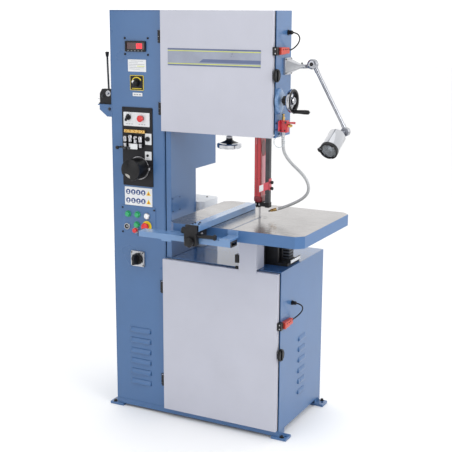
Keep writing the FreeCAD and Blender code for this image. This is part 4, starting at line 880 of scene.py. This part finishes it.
# ---------------------------------------------------------------- doors
def door_details():
    badge = Piece(M_SILVER)
    badge.pad("y", -22, -23.0, 322, 1681, 779, 1756, 1.5)
    badge.use(M_SLATE)
    badge.pad("y", -23.0, -23.2, 322, 1750, 779, 1756, 1)
    badge.slab([(500, 1712), (779, 1712), (779, 1697), (480, 1697)], "y", -23.0, -23.2)
    badge.pad("y", -23.0, -23.2, 322, 1681, 779, 1686, 1)
    badge.use(M_LIME)
    badge.pad("y", -23.0, -23.3, 322, 1744.5, 779, 1747.5)
    badge.pad("y", -23.0, -23.3, 322, 1688.5, 779, 1691.5)
    badge.make("door_badge", "upper_door", slot="plate_white")
    for label, right, z, knob_z in (("upper", 841, 1753, 1651), ("lower", 881, 547, 413)):
        key = Piece(M_PLASTIC)
        key.pad("y", -24.2, -0.6, right - 7.6, z - 17.6, right + 13.6, z + 17.6, 2)
        key.use(M_STEEL)
        for dz in (-9, 9):
            key.socket_screw((right + 6, -24.2, z + dz), "-y", 3)
        key.make(label + "_key_cover", label + "_door", bevel=0.6, slot="black_plastic")
        at = (right, -11, knob_z)
        knob = Piece(M_PLASTIC)
        knob.turned([(-9, 6), (2, 6), (2, 26), (4, 28), (12, 28.2), (14, 27),
                     (14, 24), (12.6, 23.4), (12.6, 0)], at, "x", 44)
        knob.pad("x", right + 12, right + 18.5, -15.5, knob_z - 23.6, -6.5, knob_z + 23.6, 3.5)
        # The two flat dark-steel half-moons either side of the wing are painted reflections on the glossy
        # black knob face.
        knob.use(M_DARKSTEEL)
        for side in (-1, 1):
            painted_reflection_sector = [(-11 + side * 21.5 * math.cos(a), knob_z + 21.5 * math.sin(a))
                      for a in (math.radians(degrees) for degrees in range(-56, 57, 8))]
            painted_reflection_sector += [(-11 + side * 7, knob_z + 15), (-11 + side * 7, knob_z - 15)]
            knob.slab(painted_reflection_sector, "x", right + 12.4, right + 13.4)
        knob.use(M_STEEL).bar(right - 9, -16, knob_z - 7, right - 5, 13, knob_z + 7)
        knob.make(label + "_turn_knob", label + "_door_knob", bevel=0.6, replaces=[label + "_door_knob"],
                  slot="black_plastic")


# ---------------------------------------------------------------- interlock switches
def interlocks():
    piece = Piece(M_ORANGE)
    for right, z, end_y, end_z in ((841, 1753, 117, 1828), (881, 547, 121, 622)):
        piece.use(M_ORANGE)
        piece.pad("y", 14, 52, right + 0.5, z - 15, right + 22, z + 15, 3)
        piece.pad("y", 56, 92, right + 0.5, z - 13, right + 20, z + 13, 3)
        piece.use(M_PALE).pad("y", 46, 51, right + 1, z - 14.6, right + 21.6, z + 14.6, 2)
        piece.use(M_ORANGE)
        piece.window(rect(right + 0.5, z - 15, right + 22, z + 15),
                     rect(right + 3.5, z - 11, right + 12.5, z + 11), "y", 4, 14)
        piece.use(M_PLASTIC).turned([(0, 6.5), (5, 6.5), (7, 4.5)], (right + 11, 92, z), "y", 18)
        for y in (22, 44, 64, 84):
            piece.socket_screw((right + (22 if y < 52 else 20), y, z + 6), "x", 2.6)
        piece.turned([(0, 12), (5, 12), (5.5, 9.5), (14, 9.5)], (right + 0.5, end_y, end_z), "x", 6)
        piece.turned([(14, 9), (20, 8.6), (23.5, 5)], (right + 0.5, end_y, end_z), "x", 20)
    piece.make("door_switches", "frame", bevel=0.5, replaces=["interlock_switches"], slot="orange_plastic")


# ---------------------------------------------------------------- head side: wheel, lock and valve
def crank():
    hub = (910, 24, 1545)
    wheel = Piece(M_CHROME)
    wheel.hoop([(-17, 41), (-15, 45), (-6, 51), (3, 52), (4, 50), (4, 46), (-7, 44), (-14, 39)], hub, "x", 56)
    wheel.turned([(-13, 15), (-11, 17), (6, 17), (9, 14), (9, 8), (7, 8)], hub, "x", 32)
    wheel.turned([(-126, 8), (-13, 8)], hub, "x", 24)
    for i in range(3):
        a = math.radians(90 + 120 * i)
        near = (905, 24 + 12 * math.cos(a), 1545 - 12 * math.sin(a))
        far = (900, 24 + 42 * math.cos(a), 1545 - 42 * math.sin(a))
        middle = ((near[0] + far[0]) / 2 + 1, (near[1] + far[1]) / 2, (near[2] + far[2]) / 2)
        wheel.pipe([near, middle, far], 5.5)
    wheel.use(M_PLASTIC)
    wheel.hoop([(4.2, 50.5), (7, 49), (7, 41), (2, 38), (-9, 37.5), (-9, 42), (-6, 44.2), (4.2, 46.2)],
               hub, "x", 56)
    wheel.turned([(0, 9.5), (4, 9.5), (4, 4), (74, 4)], (914, 24, 1500), "x", 16)
    wheel.use(M_DARKSTEEL).turned([(0, 13.7), (13, 13.7)], (784, 24, 1545), "x", 28)
    wheel.make("crank_wheel", "post_handwheel", replaces=["post_handwheel"], slot="chrome")
    grip = Piece(M_PLASTIC)
    grip.hoop([(0, 4.2), (0, 7.5), (3, 8.2), (20, 8.0), (45, 9.4), (60, 9.5), (66, 8.5), (68, 5), (68, 4.2)],
              (918, 24, 1500), "x", 28)
    grip.make("crank_grip", "handwheel_grip", replaces=["handwheel_grip"], slot="black_plastic")
    knob = Piece(M_PLASTIC)
    knob.window(disc(24, 1545, 19.5, 60, 6, 3.2), disc(24, 1545, 8.5, 60), "x", 870, 884)
    knob.window(disc(24, 1545, 14, 60), disc(24, 1545, 8.5, 60), "x", 864, 870.2)
    knob.make("lock_ring", "post_lock_knob", bevel=1.2, replaces=["post_lock_knob"], slot="black_plastic")


def valve():
    piece = Piece(M_RED)
    piece.pad("z", 1408, 1460, 848, 28, 882, 56, 3)
    piece.use(M_ROSE).pad("z", 1412, 1456, 841.5, 22, 848, 62, 3)
    piece.use(M_BRASS)
    piece.turned([(0, 6), (4, 6), (4, 8), (12, 8), (12, 5), (20, 5), (21, 6.5), (26, 6.5), (27, 4)],
                 (859, 42, 1460), "z", 6)
    piece.turned([(0, 6.5), (3, 6.5), (3, 8.5), (12, 8.5), (13, 6), (18, 6), (19, 4)],
                 (882, 42, 1437), "x", 6)
    piece.use(M_STEEL)
    piece.turned([(0, 9.4), (10, 9.4), (10, 8.4), (22, 8), (24, 6.6)], (859, 42, 1408), "-z", 24)
    piece.use(M_DARKSTEEL).turned([(0, 5), (9, 5)], (879, 28, 1452), "-y", 16)
    piece.use(M_BLACK)
    piece.socket_screw((855, 28, 1416), "-y", 3.2)
    piece.socket_screw((873, 28, 1416), "-y", 3.2)
    for y, z in ((5, 1448), (5, 1421), (37, 1400), (70, 1430)):
        piece.socket_screw((841.2, y, z), "x", 4.5)
    piece.make("coolant_cock", "frame", bevel=0.6, replaces=["coolant_valve"], slot="red_paint")
    lever = Piece(M_RED)
    lever.hoop([(0, 5.1), (0, 9), (5, 9), (6, 8), (6, 5.1)], (879, 26, 1452), "-y", 24)
    lever.loft([(886, rect(21.4, 1448.5, 24, 1455.5, 1)), (905, rect(21.2, 1448, 24.2, 1456, 1)),
                (924, rect(21, 1447, 24.6, 1457, 1.2))], "x")
    lever.make("cock_lever", "coolant_lever", bevel=0.3, replaces=["coolant_lever"], slot="red_paint")
    tube = Piece(M_TUBE)
    path = []
    for i in range(25):
        a = math.pi * 2 * i / 24
        path.append((852 + 36 * math.sin(a) * 0.7, 26 - 12 * math.sin(a / 2),
                     1392 - 48 * (1 - math.cos(a)) * 0.5))
    tube.pipe(path, 1.9, 10)
    tube.make("drain_tube", "frame", slot="grey_plastic")


def boss():
    """Oval blister on the head's side around the crank shaft."""
    piece = Piece(M_BLUE_BRIGHT)
    sections = []
    for x, inset in ((841.2, 0), (848, 0.5), (852, 3), (855, 8), (855.8, 14)):
        sections.append((x, oval(29, 1541, 35 - inset, 56 - inset, 48, 0.1309)))
    piece.loft(sections, "x")
    piece.make("oval_boss", "frame", slot="blue_paint")


# ---------------------------------------------------------------- lamp
def lamp():
    bracket = Piece(M_CASTALU)
    bracket.loft([(841.5, rect(74, 1650, 146, 1722, 4)), (850, rect(74, 1650, 146, 1722, 4)),
                  (850.5, rect(79, 1655, 141, 1717, 8)), (880, rect(88, 1668, 132, 1706, 8)),
                  (905, rect(99, 1677, 121, 1697, 8)), (918, rect(100, 1677, 120, 1696, 9))], "x")
    bracket.turned([(0, 9), (13, 9), (13, 7.5)], (917.5, 110, 1686), "x", 24)
    bracket.use(M_BLACK)
    for y, z in ((80, 1656), (140, 1656), (80, 1716), (140, 1716)):
        bracket.socket_screw((850, y, z), "x", 3.4)
    bracket.hex_bolt((912, 110, 1696), "z", 6, 6)
    bracket.make("lamp_mount", "frame", bevel=1.0, replaces=["lamp_bracket"], slot="aluminium")

    swivel = Piece(M_SATIN)
    swivel.turned([(0, 8), (12, 8)], (932, 110, 1686), "x", 24)
    swivel.pipe([(936, 104, 1688), (946, 101, 1692), (956, 101, 1696)], 7, 16)
    swivel.turned([(0, 12), (1, 18), (4, 21.5), (8, 22), (13, 22), (14, 21)], (962, 94, 1697), "y", 36)
    swivel.turned([(0, 6), (30, 6)], (962, 95, 1697), "y", 16)
    swivel.use(M_BLACK).hex_bolt((962, 94, 1697), "-y", 10, 4)
    swivel.make("lamp_knuckle", "lamp_swivel", bevel=0.5, replaces=["lamp_swivel"], slot="black_paint")

    arm = Piece(M_SATIN)
    arm.turned([(0, 21), (1, 22), (11, 22), (15, 19), (16, 14)], (962, 109, 1697), "y", 36)
    arm.turned([(0, 18), (1, 19), (10, 19), (15, 16), (16, 11)], (1119, 109, 1417), "y", 32)
    arm.pipe([(966, 118, 1690), (1115, 118, 1424)], 8, 20)
    for start, end in (((968, 118, 1687), (981, 118, 1663)), ((1103, 118, 1446), (1113, 118, 1427))):
        arm.pipe([start, end], 9.6, 20)
    arm.use(M_BLACK).hex_bolt((962, 125, 1697), "y", 9, 4)
    arm.make("lamp_boom", "lamp_arm", bevel=0.4, replaces=["lamp_arm"], slot="aluminium")

    head = Piece(M_CHROME)
    tail = Vector((1105.6, 51.4, 1408.7))
    aim = Vector((-0.015, -0.858, -0.515)).normalized()
    head.hoop([(0, 30), (3, 35), (8, 38), (110, 38), (110, 36), (70, 34.5),
               (68, 14), (66, 14), (66, 3), (0, 3)], tail, aim, 56)
    head.turned([(-2, 0), (-2, 22), (2, 29)], tail, aim, 36)
    head.use(M_SATIN)
    head.hoop([(67, 14), (88, 30), (104, 35), (103, 35.2), (86, 32), (66, 16)], tail, aim, 48)
    head.turned([(0, 18), (1, 19), (10, 19), (12, 18)], (1119, 96, 1417), "y", 30)
    head.turned([(0, 5), (30, 5)], (1119, 95, 1417), "y", 16)
    head.pipe([(1115, 100, 1417), (1109, 84, 1417), (1105, 62, 1413)], 8, 16)
    head.use(M_GLASS).turned([(64, 11), (78, 14), (88, 13), (94, 8), (96, 2)], tail, aim, 24)
    head.turned([(103, 34), (105, 34)], tail, aim, 40)
    head.use(M_PLASTIC)
    head.hoop([(97, 37.8), (97, 39.6), (112, 39.6), (114, 37), (114, 34), (106, 34.5), (106, 37.8)],
              tail, aim, 56)
    across = aim.cross(Vector((0, 0, 1))).normalized()
    rise = across.cross(aim)
    for i in range(3):
        a = math.radians(20 + 120 * i)
        out = across * math.cos(a) + rise * math.sin(a)
        head.use(M_STEEL).turned([(0, 2.6), (1.2, 2.6), (1.6, 1.6)], tail + aim * 113.6 + out * 35.5, aim, 12)
    lump = tail + aim * 102 + across * 39
    head.use(M_PLASTIC).pipe([lump - aim * 9, lump + aim * 9], 9, 8)
    head.pipe([lump, lump + across * 12], 5, 10)
    head.make("lamp_can", "lamp_head", bevel=0.4, replaces=["lamp_head"], slot="aluminium")


# ---------------------------------------------------------------- guard and guides
def upper_guard():
    """Folded red guard with painted sheen on its side and a painted highlight line down its front, strapped
    to the post with two clamp knobs.
    """
    piece = Piece(M_RED)
    z0, z1 = 1094, 1440
    piece.slab([(720, z0), (751, z0), (751, z1), (720, z1)], "y", 50, 52)
    piece.slab([(50, z0), (100, z0 + 24), (100, z1), (50, z1)], "x", 749, 751)
    piece.pad("x", 720, 721.5, 50, z0, 56, z1, 1)
    # Pink on part of the side face is painted sheen where light falls on the red enamel; the thin pink line
    # down the front is a painted highlight.
    piece.use(M_PAINTED_HIGHLIGHT).pad("x", 751, 751.8, 60, 1166, 98, 1292, 5)
    piece.pad("y", 49.3, 50, 728.5, 1345, 730.5, 1430, 0.8)
    piece.use(M_DARKRED).pad("y", 49.2, 50, 731.5, 1100, 734, 1430, 1)
    piece.slab(oval(75, 1328, 21, 36, 32, 0.196), "x", 751, 752)
    piece.loft([(1086, rect(723, 50, 751, 98, 8)), (1092, rect(716, 46, 757, 101, 12)),
                (1108, rect(716, 46, 757, 101, 12)), (1115, rect(721, 51, 750, 99, 8))], "z")
    piece.use(M_ROSE)
    piece.slab([(750, 1132), (800.5, 1154), (800.5, 1188), (750, 1166)], "y", 34, 38)
    piece.pad("x", 749, 753, 34, 1134, 51, 1163, 2)
    piece.pad("x", 797.6, 801, 34, 1147, 57.5, 1199, 3)
    piece.use(M_WHITEBTN).slab([(752, 1136), (772, 1145), (772, 1173), (752, 1164)], "y", 33.2, 34)
    piece.use(M_PLASTIC)
    for z in (1155, 1182):
        piece.turned([(0, 4), (3, 4), (3, 6.8), (7, 7.4), (11, 7.4), (12.5, 5)], (801, 46, z), "x", 20)
    piece.make("red_guard", "guide", bevel=0.5, replaces=["upper_blade_guard"], slot="red_paint")

    block = Piece(M_CAST)
    block.slab([(722, 1099), (722, 1078), (728, 1062), (732.5, 1062), (732.5, 1099)], "y", 53, 107)
    block.slab([(738.5, 1099), (738.5, 1062), (742, 1062), (748, 1078), (748, 1099)], "y", 53, 107)
    block.pad("y", 102, 107, 722, 1066, 748, 1099, 1)
    block.pad("y", 54, 66, 747, 1068, 779, 1084, 2)
    block.pad("y", 38, 66, 778, 1068, 797, 1090, 1)
    block.use(M_STEEL)
    for z in (1076, 1091):
        block.hex_bolt((727, 53, z), "-y", 5, 3)
        block.hex_bolt((743.5, 53, z), "-y", 5, 3)
    block.turned([(0, 6), (30, 6)], (720, 97, 1074), "x", 20)
    block.make("guide_jaws", "guide", bevel=0.6, replaces=["upper_guide_block"], slot="black_paint")
    rack = Piece(M_DARKSTEEL)
    for i in range(44):
        z = 1100 + i * 11.6
        rack.bar(782, 37.4, z, 794, 38.2, z + 5)
    rack.make("rack_teeth", "guide", slot="dark_steel")


# ---------------------------------------------------------------- tension wheel
def tension_wheel():
    x, y, z = 558, 120, 1308
    wheel = Piece(M_CHROME)
    wheel.loft([(z, disc(x, y, 47, 72, 9, 2.5)), (z + 4, disc(x, y, 54, 72, 9, 2.4)),
                (z + 18, disc(x, y, 55.6, 72, 9, 1.2)), (z + 23, disc(x, y, 52, 72)),
                (z + 25, disc(x, y, 42, 72))], "z")
    wheel.use(M_BLACK).turned([(24.5, 42), (27, 36), (33, 22), (38, 15), (46, 14)], (x, y, z), "z", 36)
    wheel.use(M_SATIN).turned([(45.5, 15), (55, 15), (57, 12)], (x, y, z), "z", 6)
    wheel.use(M_STEEL).turned([(10, 6), (284, 6)], (x, y, z), "z", 20)
    wheel.make("tension_wheel", "tension_handwheel", bevel=0.5, replaces=["tension_handwheel"], slot="chrome")


# ---------------------------------------------------------------- table, fence and what is under it
def fence_details():
    clamp = Piece(M_CAST)
    clamp.loft([(-318, rect(570, 950, 622, 1016, 6)), (-312, rect(566, 947, 626, 1022, 6)),
                (-291, rect(566, 947, 626, 1011.5, 5))], "y")
    clamp.pad("y", -291, -234, 566, 981, 626, 1011.5, 3)
    clamp.pad("y", -234, -217, 568, 957.5, 624, 1011.5, 3)
    clamp.pad("y", -316.5, -222, 566.6, 1000, 593, 1024.4, 5)
    clamp.pad("y", -320.5, -311, 577, 1004, 633, 1039.5, 4)
    clamp.use(M_BLACK)
    clamp.pipe([(622, -302, 992), (650, -303, 992), (704, -303, 994)], 8, 20)
    clamp.turned([(0, 8), (3, 12), (9, 13), (13, 10)], (702, -303, 994), "x", 24)
    clamp.use(M_STEEL).turned([(0, 5), (16, 5)], (552, -270, 1002), "x", 14)
    clamp.use(M_PLASTIC).turned([(0, 12), (3, 15), (14, 15), (18, 12)], (534, -270, 1002), "x", 28)
    clamp.use(M_STEEL).hex_bolt((640, -290, 1001), "z", 8, 4)
    clamp.make("fence_clamp", "fence", bevel=1.2, replaces=["fence_carriage"], slot="black_paint")
    screws = Piece(M_BLACK)
    for x, y in ((603, -300), (603, -278), (628, -292), (617, -262)):
        screws.socket_screw((x, y, 1041), "z", 4.4)
    screws.make("fence_screws", "fence", slot="black_paint")
    knob = Piece(M_PLASTIC)
    knob.loft([(-324, disc(600, 967, 19, 60, 5, 1)), (-328, disc(600, 967, 22, 60, 5, 1.6)),
               (-336, disc(600, 967, 21, 60, 5, 1.6)), (-340, disc(600, 967, 15, 60))], "y")
    knob.turned([(0, 5), (23, 5)], (600, -302, 967), "-y", 16)
    knob.make("fence_knob", "fence_lock_knob", bevel=0.8, replaces=["fence_lock_knob"], slot="black_plastic")
    cap = Piece(M_BLACK)
    for x in (321.2, 775.8):
        cap.window(rect(-290.3, 954.7, -234.7, 980.3, 2), rect(-284, 961, -241, 974, 2), "x", x, x + 4)
    cap.make("rail_end_caps", "table", bevel=0.4, slot="black_plastic")
    ear = Piece(M_BLUE_BRIGHT)
    ear.loft([(980.2, rect(722, -290, 772, -205.5, 12)), (987.2, rect(723, -289, 771, -205.5, 12))], "z")
    ear.make("rail_ear", "table", bevel=1, slot="light_blue_paint")


def under_table():
    latch = Piece(M_PLASTIC)
    latch.pad("y", -25.6, -4, 663, 817, 685, 855, 3)
    latch.pad("y", -27, -25.6, 667, 822, 681, 850, 2)
    latch.turned([(0, 4), (4, 7), (10, 8), (16, 7), (18, 4)], (681, -20, 794), "-x", 18)
    latch.make("guard_latch", "lower_door", bevel=0.5, slot="black_plastic")
    piece = Piece(M_STEEL)
    for x, y in ((690, 120), (770, 120), (790, 210), (690, 210)):
        piece.hex_bolt((x, y, 806.5), "z", 11, 6)
    piece.use(M_PLATE).pad("x", 867, 868, 131, 801, 243, 815, 1)
    piece.use(M_GREYINK)
    for i in range(11):
        tall = 7 if i % 5 == 0 else 4
        piece.pad("x", 868, 868.3, 136 + i * 10, 814.5 - tall, 137.2 + i * 10, 814.5)
    piece.use(M_MOTOR)
    for i in range(8):
        piece.pad("z", 806 + i * 14, 813 + i * 14, 803, 185, 837, 233, 2)
    piece.make("under_table_fittings", "frame", bevel=0.5, slot="black_paint")


def table_details():
    piece = Piece(M_DARKSTEEL)
    piece.window(disc(735, 75, 34.2, 40), disc(735, 75, 33.4, 40), "z", 1008, 1012.15)
    for x, y in ((712, 75), (758, 75)):
        piece.turned([(0, 3), (0.3, 3)], (x, y, 1012), "z", 14)
    piece.make("insert_seam", "table", slot="dark_steel")


# ---------------------------------------------------------------- shear, feet and small parts
def shear():
    bracket = Piece(M_BLUE)
    bracket.bar(-85.5, 14, 1482, -0.6, 94, 1487)
    bracket.bar(-5.5, 14, 1426, -0.6, 94, 1483)
    bracket.slab([(-76, 1482.5), (-76, 1462), (-34, 1430), (-5, 1430), (-5, 1482.5)], "y", 14, 18)
    bracket.use(M_CAST).pad("x", -85, -5, 22, 1487, 82, 1493, 1)
    bracket.slab([(-79, 1492), (-79, 1536), (-66, 1558), (-14, 1558), (-14, 1492)], "y", 22, 30)
    bracket.slab([(-79, 1492), (-79, 1510), (-20, 1510), (-20, 1540), (-76, 1540), (-66, 1558), (-14, 1558),
                  (-14, 1492)], "y", 30, 38)
    bracket.slab([(-79, 1492), (-79, 1536), (-66, 1558), (-14, 1558), (-14, 1492)], "y", 38, 46)
    bracket.use(M_CHROME)
    bracket.turned([(0, 14), (3, 14), (3, 6), (4, 6), (9, 6), (12, 4)], (-30, 22, 1538), "-y", 28)
    bracket.turned([(0, 5), (15, 5)], (-48, 46, 1540), "y", 20)
    bracket.use(M_DARKSTEEL).hex_bolt((-62, 22, 1524), "-y", 10, 6)
    bracket.hex_bolt((-20, 14, 1466), "-y", 9, 5)
    bracket.use(M_STEEL).bar(-96, 30.6, 1509, -24, 37.4, 1512)
    bracket.make("hand_shear", "frame", bevel=0.8, replaces=["blade_shear"], slot="black_paint")
    lever = Piece(M_DARKSTEEL)
    lever.hoop([(0, 5.1), (0, 12), (1, 13), (10, 13), (11, 12), (11, 5.1)], (-48, 47.5, 1540), "y", 28)
    lever.pipe([(-48, 53, 1550), (-51, 53, 1640), (-53, 53, 1712)], 4.4, 16)
    lever.use(M_PLASTIC).turned([(0, 6), (3, 7), (14, 8.6), (20, 9.5), (23, 7)], (-53, 53, 1706), "z", 24)
    lever.make("shear_handle", "shear_lever", replaces=["shear_lever"], slot="bright_steel")


def small_parts():
    """Anchor bolts, wall plate, cover screws, hinge sleeves and their screws."""
    feet = Piece(M_BLACK)
    for x in (-14, 895):
        for y in (2, 491):
            feet.hex_bolt((x, y, 12), "z", 13, 9)
    feet.make("levelling_bolts", "frame", bevel=0.4, slot="black_paint")
    wall = Piece(M_BLUE)
    wall.pad("x", 320, 321.5, 7, 1005, 80, 1074, 2)
    wall.use(M_BLACK)
    for y, z in ((12, 1010), (75, 1010), (12, 1069), (75, 1069)):
        wall.socket_screw((321.5, y, z), "x", 2.4)
    wall.make("wall_plate", "frame", slot="blue_paint")
    cover = Piece(M_BLACK)
    for x, y in ((96, 374), (304, 374)):
        cover.socket_screw((x, y, 1015.5), "z", 5)
    cover.make("cover_screws", "frame", slot="black_paint")
    hinge = Piece(M_STEEL)
    for bottom in (1777, 1456, 618, 154):
        for dz in (9, 28, 47):
            hinge.socket_screw((263, -3.4, bottom + dz), "-y", 2.4)
    hinge.make("hinge_screws", "frame", slot="bright_steel")
    for label, bottoms in (("upper_door", (1777, 1456)), ("lower_door", (618, 154))):
        sleeve = Piece(M_BLACK)
        for bottom in bottoms:
            sleeve.hoop([(28.6, 6.9), (28.6, 7.5), (55.8, 7.5), (55.8, 6.9)], (274, -11, bottom), "z", 28)
            sleeve.pad("y", -14.4, -7.6, 276, bottom + 28.6, 289.4, bottom + 55.8, 1)
        sleeve.make(label + "_hinge_sleeves", label, bevel=0.4, slot="black_paint")


for build in (louvres, display, labels, speed_dial, signs, button_panel, main_switch, welder, grinder,
              door_details, interlocks, crank, valve, boss, lamp, upper_guard, tension_wheel, fence_details,
              under_table, table_details, shear, small_parts, display_screws):
    build()


# ---------------------------------------------------------------- floor and light
BRIGHT_SIDE = (-0.46, 0.887, 0)
LIGHTS = {
    "key": ((3.4, -1.2, 2.6), 2.2, 58),
    "front": ((-1.6, -4.6, 2.4), 3.0, 40),
    "top": ((0.2, 0.4, 4.6), 3.0, 10),
}


def studio():
    """A room lit from one side and above, a plain white backdrop, a pale floor and three soft lights."""
    world = bpy.data.worlds.new("studio")
    world.use_nodes = True
    tree = world.node_tree
    heading = tree.nodes.new("ShaderNodeTexCoord").outputs["Generated"]
    shades = []
    for axis, low, high in ((BRIGHT_SIDE, -0.3, 0.25), ((0, 0, 1), 0.35, 0.9)):
        shades.append(spread(tree, vector_math(tree, "DOT_PRODUCT", heading, axis), 0, 1, low, high))
    seen = tree.nodes.new("ShaderNodeLightPath").outputs["Is Camera Ray"]
    lightest = larger(tree, larger(tree, *shades), seen)
    room = tree.nodes["Background"]
    room.inputs["Strength"].default_value = 1.2
    tree.links.new(blend_colours(tree, lightest, (0.33, 0.34, 0.36), (1, 1, 1)), room.inputs["Color"])
    scene.world = world
    mesh = bpy.data.meshes.new("floor")
    reach, below = 30, -0.0005
    mesh.from_pydata([(u, v, below) for u, v in rect(-reach, -reach, reach, reach)], [], [(0, 1, 2, 3)])
    floor = bpy.data.objects.new("floor", mesh)
    scene.collection.objects.link(floor)
    pale, tree, shader = new_material("pale_floor")
    tree.links.new(blend_colours(tree, object_noise(tree, 2), (0.96, 0.96, 0.96), (0.98, 0.98, 0.98)),
                   shader.inputs["Base Color"])
    shader.inputs["Roughness"].default_value = 0.8
    mesh.materials.append(pale)
    for name, (place, size, power) in LIGHTS.items():
        light = bpy.data.lights.new(name, "AREA")
        light.size = size
        light.energy = power
        lamp_object = bpy.data.objects.new(name, light)
        lamp_object.location = place
        aim = Vector((0, 0, 1.0)) - Vector(place)
        lamp_object.rotation_euler = aim.to_track_quat("-Z", "Y").to_euler()
        scene.collection.objects.link(lamp_object)
    scene.view_settings.view_transform = "Standard"


studio()
